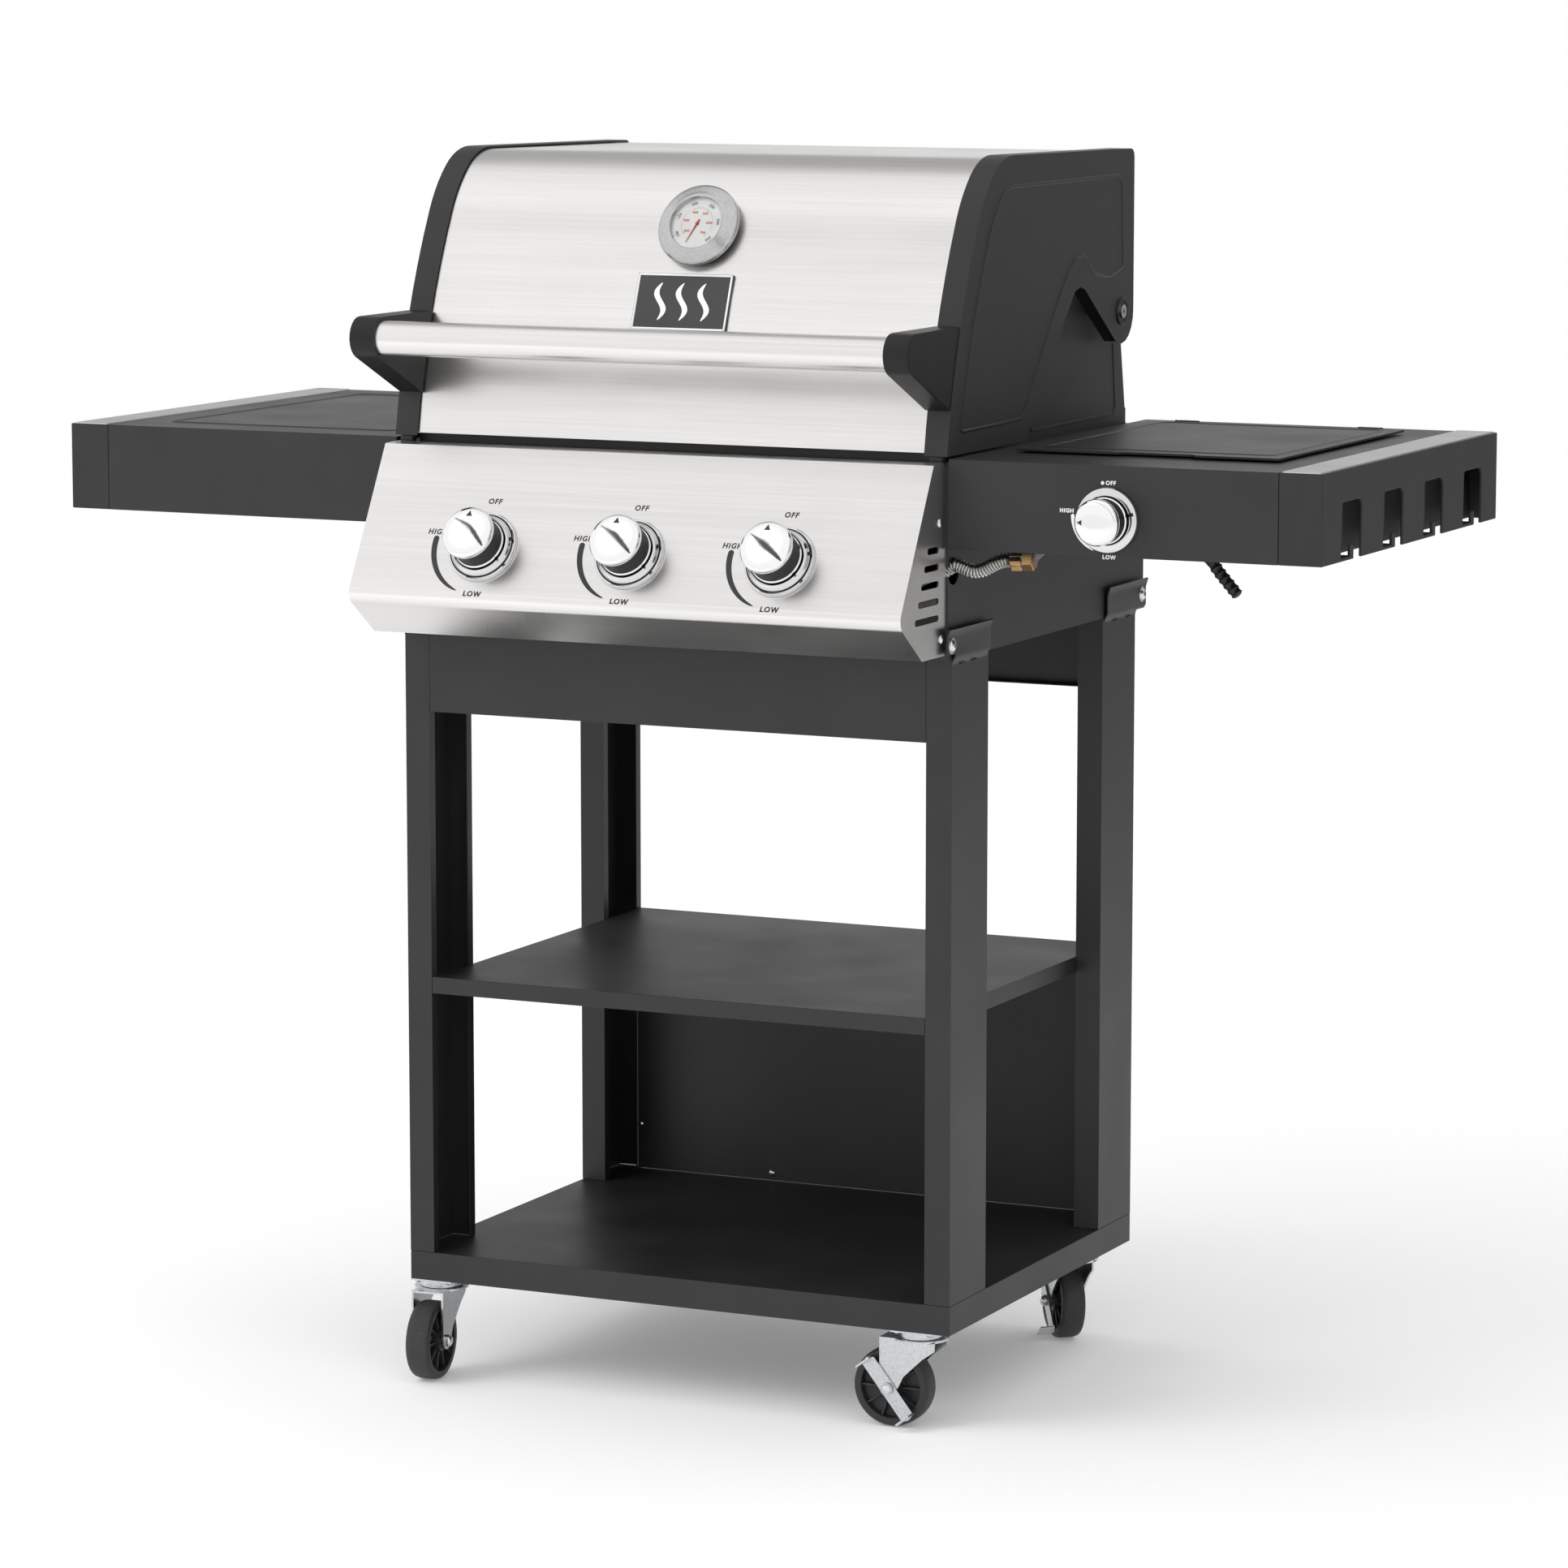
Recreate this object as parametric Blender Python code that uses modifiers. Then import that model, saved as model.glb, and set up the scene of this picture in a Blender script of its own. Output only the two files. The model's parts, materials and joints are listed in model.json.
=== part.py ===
"""A gas barbecue grill on an open cart: three burners under a hinged hood, a side burner under a
lid in the right shelf, a slide-out grease tray and four swivel casters.

Metres. +X is the right of someone who faces the control panel, -Y the front, +Z up. The floor is
Z = 0, and the origin is the middle of the grill's footprint. Pieces are modelled about the middle
of the cart, and the empty cart_middle carries that point to its place."""

import math

import bmesh
import bpy
from mathutils import Matrix, Vector

# Everywhere
GAP = 0.0003
SHEET = 0.0015
RUNNING = 0.0004

# Cart
CART_HALF_WIDTH = 0.2800
CART_HALF_DEPTH = 0.2219
TRAY_HEIGHT = 0.0275
TRAY_CORNER = 0.085
LEG_WIDTH = 0.0254
LEG_DEPTH = 0.0832
LEG_LIP = 0.010
SHELF_LEVEL = 0.3890
SHELF_EDGE = 0.0159
APRON_HEIGHT = 0.0760
APRON_FLANGE = 0.014
BACK_PANEL_INSET = 0.008
BRACKET_STAND = 0.0022
BRACKET_RISE = 0.0290
BRACKET_LENGTH = 0.0980
BRACKET_OVERHANG = 0.0186
BRACKET_LIP = 0.0080

# Casters
CASTER_HEIGHT = 0.0950
CASTER_X = {"left": -0.2613, "right": 0.2400}
CASTER_Y = {"front": -0.1950, "rear": 0.1700}
CASTER_HEADING = {
    "front_left": -85.0,
    "front_right": 181.0,
    "rear_left": 120.0,
    "rear_right": 130.0,
}
WHEEL_RADIUS = 0.0375
WHEEL_WIDTH = 0.0240
WHEEL_TRAIL = 0.0260
WHEEL_HUB_RADIUS = 0.0105
WHEEL_RIM_RADIUS = 0.0300
AXLE_RADIUS = 0.0040
AXLE_HEAD_RADIUS = 0.0058
AXLE_HEAD = 0.0025
FORK_SHEET = 0.0020
FORK_CROWN_DROP = 0.0092
FORK_GAP = 0.0024
CASTER_PLATE = 0.0440
CASTER_PLATE_SHEET = 0.0025
RACE_RADIUS = 0.0210
FORK_RADIUS = 0.0260
LEVER_LENGTH = 0.0350
LEVER_HALF_WIDTH = 0.0080
LEVER_PEDAL = 0.0130
LEVER_TILT = 52.0

# Body under the hood
BODY_BOTTOM = 0.7184
BODY_TOP = 0.8968
BODY_REAR = 0.2420
TUB_HALF_WIDTH = 0.2620
TUB_FRONT = -0.2220
TUB_REAR = 0.2373
TUB_FLOOR = 0.7900
TUB_RIM = 0.9120
GREASE_SLOT = (0.190, 0.130)
GRATE_LEVEL = 0.8925
GRATE_LEDGE = 0.010

# Hood: the side outline rises from its front foot in three arcs (radius, end angle)
HOOD_HALF_WIDTH = 0.2804
HOOD_BAND = 0.0230
HOOD_FOOT = (-0.2360, 0.9028)
HOOD_FOOT_ANGLE = 9.0
HOOD_ARCS = ((0.6470, 28.4), (0.1370, 50.0), (0.0723, 90.7))
HOOD_CHORD = 0.00015
HOOD_REAR = 0.2096
HOOD_REAR_RADIUS = 0.008
SKIN_RECESS = 0.0025
SKIN_LIFT = 0.0026
SKIN_REAR_BOTTOM = 1.0190
HINGE = (0.1787, 1.0089)
HINGE_RADIUS = 0.0040
HINGE_HEAD_RADIUS = 0.0065
HINGE_HEAD = 0.0025
NOTCH_TOP = (0.0756, 1.0374)
NOTCH_REAR = (0.0868, 1.0346)
NOTCH_SHOULDER = (0.0627, 1.0339)
NOTCH_WAIST = (0.0185, 0.9895)
NOTCH_FRONT = -0.0573
THERMOMETER_X = 0.0055
THERMOMETER_ANGLE = 27.3
THERMOMETER_RADIUS = 0.0400
THERMOMETER_STEM = 0.0045

# Handle
HANDLE_CENTRE = (-0.3036, 0.9977)
HANDLE_RADIUS = 0.0160
HANDLE_HALF_LENGTH = 0.2616
BRACKET_WALL = 0.0035
HANDLE_BRACKET_INNER = 0.2555
HANDLE_BRACKET_OUTER = 0.2800
HANDLE_BRACKET_FOOT = 0.9428

# Control panel: the side outline's corners (Y, Z)
PANEL_HALF_WIDTH = 0.2780
PANEL_TOP_FRONT = (-0.2601, 0.8968)
PANEL_TOP_REAR = (-0.2384, 0.8978)
PANEL_BEND = (-0.3360, 0.7608)
PANEL_BOTTOM_FRONT = (-0.2850, 0.7238)
PANEL_REAR = -0.2315
PANEL_BEND_RADIUS = 0.012
PANEL_SLOTS = 5
PANEL_SLOT_PITCH = 0.01535
PANEL_SLOT_TOP = 0.8208
PANEL_SLOT_REAR = -0.2482
PANEL_SLOT_FRONT = -0.2735
PANEL_SLOT_STEP = 0.00683
PANEL_SLOT_HEIGHT = 0.0060
KNOB_PITCH = 0.1500
KNOB_LEVEL = 0.8093

# Knobs: radius of the cap, radius of the bezel, height of the face
PANEL_KNOB = (0.0250, 0.0340, 0.0400)
SIDE_KNOB = (0.0210, 0.0290, 0.0350)
KNOB_TRAVEL = 0.0040
KNOB_FOOT = 0.0080
KNOB_SEAT = 0.0180
KNOB_WALL = 0.0030
STEM_RADIUS = 0.0040
STEM_INNER = 0.0200
VALVE_RADIUS = 0.0110

# Shelves
SHELF_TOP = 0.9008
SHELF_BOTTOM = 0.8195
SHELF_FRONT = -0.2338
SHELF_REAR = 0.2441
SHELF_OUTER = 0.6356
CAP_WIDTH = 0.0408
CAP_WALL = 0.0030
HOOK_SLOT_WIDTH = 0.0530
HOOK_SLOT_FIRST = -0.1850
HOOK_SLOT_PITCH = 0.1107
HOOK_SLOT_TOP = 0.8718
HOOK_SLOT_RADIUS = 0.006
HOOK_REACH = 0.62
HOOK_TIP = 0.0130
HOOK_DEPTH = 0.0120

# Side burner
SIDE_X = 0.4363
SIDE_Y = 0.0200
SIDE_HALF_WIDTH = 0.1075
SIDE_HALF_DEPTH = 0.1350
SIDE_FLANGE = 0.0080
SIDE_FLOOR = 0.8600
SIDE_HEAD_RADIUS = 0.0370
SIDE_HEAD_TOP = 0.8870
LID_HALF_WIDTH = 0.1263
LID_FRONT = -0.1470
LID_REAR = 0.1880
LID_LEVEL = 0.9028
LID_SHEET = 0.0020
LID_GRIP = (0.062, 0.012)
KNUCKLE_RADIUS = 0.0018
KNUCKLE_LENGTH = 0.020
KNUCKLE_X = 0.0900
SIDE_KNOB_X = 0.4355
SIDE_KNOB_LEVEL = 0.8528

# Gas parts
BURNER_LEVEL = 0.8280
BURNER_RADIUS = 0.0120
BURNER_REAR = 0.1850
MANIFOLD_SETBACK = 0.0500
MANIFOLD_RADIUS = 0.0090
PIPE_RADIUS = 0.0062
PIPE_HOLE_RADIUS = 0.0125
PIPE_END_GAP = 0.0012
PIPE_ROUTE = (
    (0.2700, -0.2195, 0.7988),
    (0.2725, -0.2195, 0.7992),
    (0.2810, -0.2190, 0.8043),
    (0.2890, -0.2175, 0.8023),
    (0.2970, -0.2160, 0.7993),
    (0.3060, -0.2140, 0.8003),
    (0.3150, -0.2120, 0.8053),
    (0.3230, -0.2100, 0.8088),
    (0.3285, -0.2083, 0.8098),
    (0.3310, -0.2080, 0.8098),
)
FITTING_LENGTH = 0.0200
FITTING_RADIUS = 0.0095
HOSE_TAIL_TOP = (0.4850, -0.1200, 0.8380)
HOSE_TAIL_BEND = (0.4920, -0.1200, 0.8030)
HOSE_TAIL_TIP = (0.5150, -0.1200, 0.7770)
HOSE_TAIL_RADIUS = 0.0048
HOSE_TAIL_BODY_RADIUS = 0.0085

# Heat plate, racks and grease tray
HEAT_PLATE_LEVEL = 0.8460
HEAT_PLATE_RISE = 0.0240
HEAT_PLATE_HALF_RIDGE = 0.0450
GRATE_THICKNESS = 0.0080
GRATE_BARS = 22
GRATE_FRAME = 0.0090
RACK_LEVEL = 1.0080
RACK_FRONT = 0.0300
RACK_REAR = 0.1350
RACK_THICKNESS = 0.0040
RACK_BARS = 8
TRAY_WIDTH = 0.2050
TRAY_BOTTOM = 0.7440
TRAY_TOP_LEVEL = 0.7697
TRAY_FRONT = -0.1500
TRAY_FLANGE = 0.0100
RAIL_LEVEL = 0.7675

# Worked out from the values above
TRAY_TOP = CASTER_HEIGHT + TRAY_HEIGHT
LEG_TOP = BODY_BOTTOM - 2 * GAP
LEG_INNER = CART_HALF_WIDTH - LEG_WIDTH
BODY_FRONT = PANEL_REAR + GAP
SHELF_INNER = HOOD_HALF_WIDTH + GAP
CAP_INNER = SHELF_OUTER - CAP_WIDTH
CROWN = CASTER_HEIGHT - FORK_CROWN_DROP
FORK_HALF = WHEEL_WIDTH / 2 + FORK_GAP
PANEL_LEAN = math.atan2(PANEL_TOP_FRONT[1] - PANEL_BEND[1], PANEL_TOP_FRONT[0] - PANEL_BEND[0])

PARTS = "gas_grill"
HELPERS = "cutters"


# Scene and shape helpers


def clear_scene():
    for old in list(bpy.data.objects):
        bpy.data.objects.remove(old, do_unlink=True)
    for name in (PARTS, HELPERS):
        bpy.context.scene.collection.children.link(bpy.data.collections.new(name))


def material(name, colour, roughness, metallic=0.0):
    made = bpy.data.materials.new(name)
    made.use_nodes = True
    shader = made.node_tree.nodes["Principled BSDF"]
    shader.inputs["Base Color"].default_value = (*colour, 1)
    shader.inputs["Roughness"].default_value = roughness
    shader.inputs["Metallic"].default_value = metallic
    return made


def add(name, data):
    made = bpy.data.objects.new(name, data)
    bpy.data.collections[PARTS].objects.link(made)
    return made


def from_bmesh(name, shape):
    bmesh.ops.recalc_face_normals(shape, faces=shape.faces)
    data = bpy.data.meshes.new(name)
    shape.to_mesh(data)
    shape.free()
    return add(name, data)


def box(name, low, high):
    size = [b - a for a, b in zip(low, high)]
    middle = [(a + b) / 2 for a, b in zip(low, high)]
    shape = bmesh.new()
    place = Matrix.Translation(middle) @ Matrix.Diagonal((*size, 1))
    bmesh.ops.create_cube(shape, size=1, matrix=place)
    return from_bmesh(name, shape)


def rod(name, start, end, radius, sides=16):
    """A round bar between two points."""
    start, end = Vector(start), Vector(end)
    along = end - start
    turn = along.to_track_quat("Z", "Y").to_matrix().to_4x4()
    shape = bmesh.new()
    bmesh.ops.create_cone(
        shape,
        cap_ends=True,
        segments=sides,
        radius1=radius,
        radius2=radius,
        depth=along.length,
        matrix=Matrix.Translation((start + end) / 2) @ turn,
    )
    made = from_bmesh(name, shape)
    made.data.shade_smooth()
    made.data.set_sharp_from_angle(angle=math.radians(40))
    return made


def realised(name, curve):
    """A mesh object of a curve's solid, with its caps welded."""
    holder = add(name + "_curve", curve)
    graph = bpy.context.evaluated_depsgraph_get()
    data = bpy.data.meshes.new_from_object(holder.evaluated_get(graph))
    bpy.data.objects.remove(holder, do_unlink=True)
    shape = bmesh.new()
    shape.from_mesh(data)
    bmesh.ops.remove_doubles(shape, verts=shape.verts, dist=1e-6)
    return from_bmesh(name, shape)


TURN_TO = {
    "X": Matrix(((0, 0, 1, 0), (1, 0, 0, 0), (0, 1, 0, 0), (0, 0, 0, 1))),
    "Y": Matrix(((1, 0, 0, 0), (0, 0, -1, 0), (0, 1, 0, 0), (0, 0, 0, 1))),
    "Z": Matrix.Identity(4),
}


def prism(name, outline, axis, low, high):
    """A flat outline carried along an axis from low to high. The outline is (Y, Z) along X,
    (X, Z) along Y and (X, Y) along Z."""
    curve = bpy.data.curves.new(name, "CURVE")
    curve.dimensions = "2D"
    curve.fill_mode = "BOTH"
    curve.extrude = (high - low) / 2
    spline = curve.splines.new("POLY")
    spline.points.add(len(outline) - 1)
    for point, (x, y) in zip(spline.points, outline):
        point.co = (x, y, 0, 1)
    spline.use_cyclic_u = True
    made = realised(name, curve)
    middle = (low + high) / 2
    shift = middle if axis != "Y" else -middle
    made.data.transform(TURN_TO[axis] @ Matrix.Translation((0, 0, shift)))
    return made


def turned(name, profile, steps, closed=False):
    """A profile of (radius, height) turned about Z. It runs down its outer side."""
    data = bpy.data.meshes.new(name)
    count = len(profile)
    edges = [(i, i + 1) for i in range(count - 1)]
    if closed:
        edges.append((count - 1, 0))
    data.from_pydata([(r, 0, h) for r, h in profile], edges, [])
    made = add(name, data)
    screw = made.modifiers.new("turn", "SCREW")
    screw.steps = steps
    screw.render_steps = steps
    screw.use_merge_vertices = True
    screw.merge_threshold = 0.00001
    return made


def combine(target, others, operation):
    for other in others:
        modifier = target.modifiers.new(other.name, "BOOLEAN")
        modifier.operation = operation
        modifier.solver = "EXACT"
        modifier.object = other
        bpy.data.collections[PARTS].objects.unlink(other)
        bpy.data.collections[HELPERS].objects.link(other)
        other.hide_render = True
        other.display_type = "WIRE"
    return target


def carve(target, *cutters):
    return combine(target, cutters, "DIFFERENCE")


def merge(target, *others):
    return combine(target, others, "UNION")


def hang(piece, parent):
    """Parents a piece and everything that shapes it, where they were modelled."""
    piece.parent = parent
    for modifier in piece.modifiers:
        if modifier.type == "BOOLEAN":
            hang(modifier.object, parent)


def finish(piece, finish_material, parent):
    hang(piece, parent)
    piece.data.materials.clear()
    piece.data.materials.append(finish_material)
    return piece


def empty(name, location, parent, rotation=(0, 0, 0)):
    made = add(name, None)
    made.empty_display_size = 0.03
    made.location = location
    made.rotation_euler = rotation
    made.parent = parent
    return made


def hang_about(piece, axis_empty):
    """Parents a piece modelled about the cart's middle to an empty on its joint's axis."""
    hang(piece, axis_empty)
    back = Matrix.Translation(-axis_empty.location)
    stack = [piece]
    while stack:
        moved = stack.pop()
        moved.matrix_parent_inverse = back
        stack += [m.object for m in moved.modifiers if m.type == "BOOLEAN"]


def arc(centre, radius, first, last, count):
    """Points on a circle from one angle to another, in degrees."""
    angles = [math.radians(first + (last - first) * i / count) for i in range(count + 1)]
    return [(centre[0] + radius * math.cos(a), centre[1] + radius * math.sin(a)) for a in angles]


def rounded(before, corner, after, radius, count=4):
    """A corner of an outline, replaced by an arc that both its sides touch."""
    corner = Vector(corner)
    one = (Vector(before) - corner).normalized()
    two = (Vector(after) - corner).normalized()
    half = one.angle(two) / 2
    centre = corner + (one + two).normalized() * radius / math.sin(half)
    first = corner + one * radius / math.tan(half) - centre
    last = corner + two * radius / math.tan(half) - centre
    points = []
    for i in range(count + 1):
        share = i / count
        along = first.lerp(last, share).normalized() * radius
        points.append(tuple(centre + along))
    return points


# Cart


def base_tray():
    w, d = CART_HALF_WIDTH, CART_HALF_DEPTH
    low, high = CASTER_HEIGHT, TRAY_TOP
    tray = box("base_tray", (-w, -d, low), (w, d, high))
    carve(
        tray,
        box("tray_hollow", (-w + SHEET, -d + SHEET, low + SHEET), (w - SHEET, d - SHEET, high - SHEET)),
        box("tray_open_x", (-w + SHEET, TRAY_CORNER - d, low - SHEET), (w - SHEET, d - TRAY_CORNER, low + 2 * SHEET)),
        box("tray_open_y", (TRAY_CORNER - w, -d + SHEET, low - SHEET), (w - TRAY_CORNER, d - SHEET, low + 2 * SHEET)),
    )
    return tray


def leg(name, side, end):
    """An open channel whose web faces outwards. Its web carries on above the leg as a bracket
    that stands off the body's side and ends in a flared lip."""
    inner, outer = LEG_INNER, CART_HALF_WIDTH
    near, far = CART_HALF_DEPTH - LEG_DEPTH, CART_HALF_DEPTH
    bottom = TRAY_TOP + GAP

    def block(part, x, y, z):
        xs = sorted(side * value for value in x)
        ys = sorted(end * value for value in y)
        return box(f"{name}_{part}", (xs[0], ys[0], z[0]), (xs[1], ys[1], z[1]))

    made = block("web", (inner, outer), (near, far), (bottom, LEG_TOP))
    made.name = name
    carve(
        made,
        block("hollow", (inner + SHEET, outer - SHEET), (near + SHEET, far - SHEET), (bottom - SHEET, LEG_TOP + SHEET)),
        block("mouth", (inner - SHEET, inner + 2 * SHEET), (near + LEG_LIP, far - LEG_LIP), (bottom - SHEET, LEG_TOP + SHEET)),
    )
    stand = outer + BRACKET_STAND
    top = BODY_BOTTOM + BRACKET_RISE
    bend = BODY_BOTTOM + 0.0045
    outline = (
        (outer - SHEET / 2, LEG_TOP - 0.0040),
        (outer + GAP, LEG_TOP - 0.0040),
        (outer + 2 * GAP, LEG_TOP - 0.0015),
        (stand + SHEET, bend - 0.0010),
        (stand + SHEET, top - BRACKET_LIP),
        (stand + 2.7 * SHEET, top),
        (stand + 1.7 * SHEET, top + SHEET / 2),
        (stand, top - BRACKET_LIP + SHEET / 2),
        (stand, bend),
        (outer + GAP, LEG_TOP - GAP),
        (outer - SHEET / 2, LEG_TOP - 2 * GAP),
    )
    ends = sorted(end * y for y in (far + BRACKET_OVERHANG - BRACKET_LENGTH, far + BRACKET_OVERHANG))
    strip = [(side * x, z) for x, z in outline]
    bracket = prism(f"{name}_bracket", strip, "Y", *ends)
    past = (far, far + BRACKET_OVERHANG + 0.01)
    foot = BODY_BOTTOM + (0.0060 if end < 0 else 0)
    carve(bracket, block("bracket_foot", (outer - SHEET, outer + 0.01), past, (LEG_TOP - 0.02, foot)))
    merge(made, bracket)
    return made


def apron(name, end):
    """A channel between two legs, open towards the inside of the cart."""
    w = LEG_INNER - GAP
    top = LEG_TOP
    bottom = top - APRON_HEIGHT
    outer = end * CART_HALF_DEPTH
    inner = outer - end * APRON_FLANGE
    low, high = sorted((outer, inner))
    made = box(name, (-w, low, bottom), (w, high, top))
    hollow = sorted((outer - end * SHEET, inner - end * SHEET))
    carve(made, box(f"{name}_hollow", (-w - SHEET, hollow[0], bottom + SHEET), (w + SHEET, hollow[1], top - SHEET)))
    return made


def mid_shelf():
    w, d = LEG_INNER - GAP, CART_HALF_DEPTH
    low = SHELF_LEVEL - SHELF_EDGE
    made = box("mid_shelf", (-w, -d, low), (w, d, SHELF_LEVEL))
    carve(made, box("mid_shelf_hollow", (-w + SHEET, -d + SHEET, low - SHEET), (w - SHEET, d - SHEET, SHELF_LEVEL - SHEET)))
    return made


def back_panel():
    w = LEG_INNER - GAP
    rear = CART_HALF_DEPTH - BACK_PANEL_INSET
    top = SHELF_LEVEL - SHELF_EDGE - GAP
    return box("back_panel", (-w, rear - SHEET, TRAY_TOP + GAP), (w, rear, top))


# Casters, modelled about their swivel axis with the wheel towards +X


def caster_plate(name):
    half = CASTER_PLATE / 2
    top = CASTER_HEIGHT - GAP
    made = box(name, (-half, -half, top - CASTER_PLATE_SHEET), (half, half, top))
    merge(made, rod(f"{name}_race", (0, 0, CROWN + GAP), (0, 0, top - SHEET), RACE_RADIUS, 20))
    return made


def caster_fork(name, braked):
    """Two cheeks under a round crown, with the axle between them."""
    crown = rod(name, (0, 0, CROWN - FORK_SHEET), (0, 0, CROWN), FORK_RADIUS, 20)
    axle_z = WHEEL_RADIUS
    outer = FORK_HALF + FORK_SHEET
    reach = WHEEL_TRAIL + 0.0090
    merge(crown, box(f"{name}_crown", (-0.016, -outer, CROWN - FORK_SHEET), (reach, outer, CROWN - GAP)))
    cheek = [(-0.020, CROWN - GAP), (-0.0195, CROWN - 0.010)]
    cheek += [(-0.0075, CROWN - 0.0185), (WHEEL_TRAIL - 0.0150, axle_z + 0.0120)]
    cheek += arc((WHEEL_TRAIL, axle_z), 0.0085, 190, 360, 6)
    cheek += [(reach, CROWN - 0.0150), (reach, CROWN - GAP)]
    for sign in (-1, 1):
        span = sorted((sign * FORK_HALF, sign * outer))
        merge(crown, prism(f"{name}_cheek_{sign + 1}", cheek, "Y", *span))
    head = outer + GAP + (FORK_SHEET + GAP if braked else 0)
    merge(
        crown,
        rod(f"{name}_axle", (WHEEL_TRAIL, -outer, axle_z), (WHEEL_TRAIL, head + GAP, axle_z), AXLE_RADIUS, 14),
        rod(f"{name}_head", (WHEEL_TRAIL, head, axle_z), (WHEEL_TRAIL, head + AXLE_HEAD, axle_z), AXLE_HEAD_RADIUS, 14),
        rod(f"{name}_nut", (WHEEL_TRAIL, -outer - AXLE_HEAD, axle_z), (WHEEL_TRAIL, GAP - outer, axle_z), AXLE_HEAD_RADIUS, 6),
    )
    return crown


def caster_wheel(name):
    """A moulded wheel with a recessed web, turned about its axle."""
    half, tread, rim = WHEEL_WIDTH / 2, WHEEL_RADIUS, WHEEL_RIM_RADIUS
    hub, bore = WHEEL_HUB_RADIUS, AXLE_RADIUS + RUNNING
    side = [(tread - 0.0030, half), (tread, half - 0.0035)]
    web = [(rim, half), (rim - 0.0008, 0.0040), (hub + 0.0005, 0.0040), (hub, half), (bore, half)]
    profile = side + [(r, -h) for r, h in reversed(side)]
    profile += [(r, -h) for r, h in web] + list(reversed(web))
    return turned(name, profile, 24, closed=True)


def brake_lever(name):
    """A pressed plate on the axle with a pedal bent outwards at each end. It lies along its own X."""
    inner = FORK_HALF + FORK_SHEET + GAP
    outer = inner + FORK_SHEET - GAP
    half, length = LEVER_HALF_WIDTH, LEVER_LENGTH
    outline = arc((length - half, 0), half, -60, 60, 4) + arc((-length + half, 0), half, 120, 240, 4)
    plate = prism(name, outline, "Y", inner, outer)
    carve(plate, rod(f"{name}_hole", (0, inner - 0.01, 0), (0, outer + 0.01, 0), AXLE_RADIUS + RUNNING, 14))
    for sign in (-1, 1):
        near, far = sorted((sign * (length - 0.0035), sign * (length - 0.0015)))
        pedal = box(f"{name}_pedal_{sign + 1}", (near, inner + GAP, -half), (far, outer + LEVER_PEDAL, half))
        merge(plate, pedal)
    return plate


def casters(middle, looks):
    for end, y in CASTER_Y.items():
        for side, x in CASTER_X.items():
            place = f"{end}_{side}"
            heading = (0, 0, math.radians(CASTER_HEADING[place]))
            fixed = empty(f"caster_seat_{place}", (x, y, 0), middle)
            finish(caster_plate(f"caster_plate_{place}"), looks["zinc"], fixed)
            swivel = empty(f"caster_swivel_{place}", (x, y, 0), middle, heading)
            braked = side == "right"
            finish(caster_fork(f"caster_fork_{place}", braked), looks["zinc"], swivel)
            axle = empty(f"caster_axle_{place}", (WHEEL_TRAIL, 0, WHEEL_RADIUS), swivel, (-math.pi / 2, 0, 0))
            finish(caster_wheel(f"caster_wheel_{place}"), looks["wheel"], axle)
            if braked:
                tilt = (0, math.radians(-LEVER_TILT), 0)
                pivot = empty(f"brake_pivot_{place}", (WHEEL_TRAIL, 0, WHEEL_RADIUS), swivel, tilt)
                finish(brake_lever(f"brake_lever_{place}"), looks["zinc"], pivot)


# Body


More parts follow.
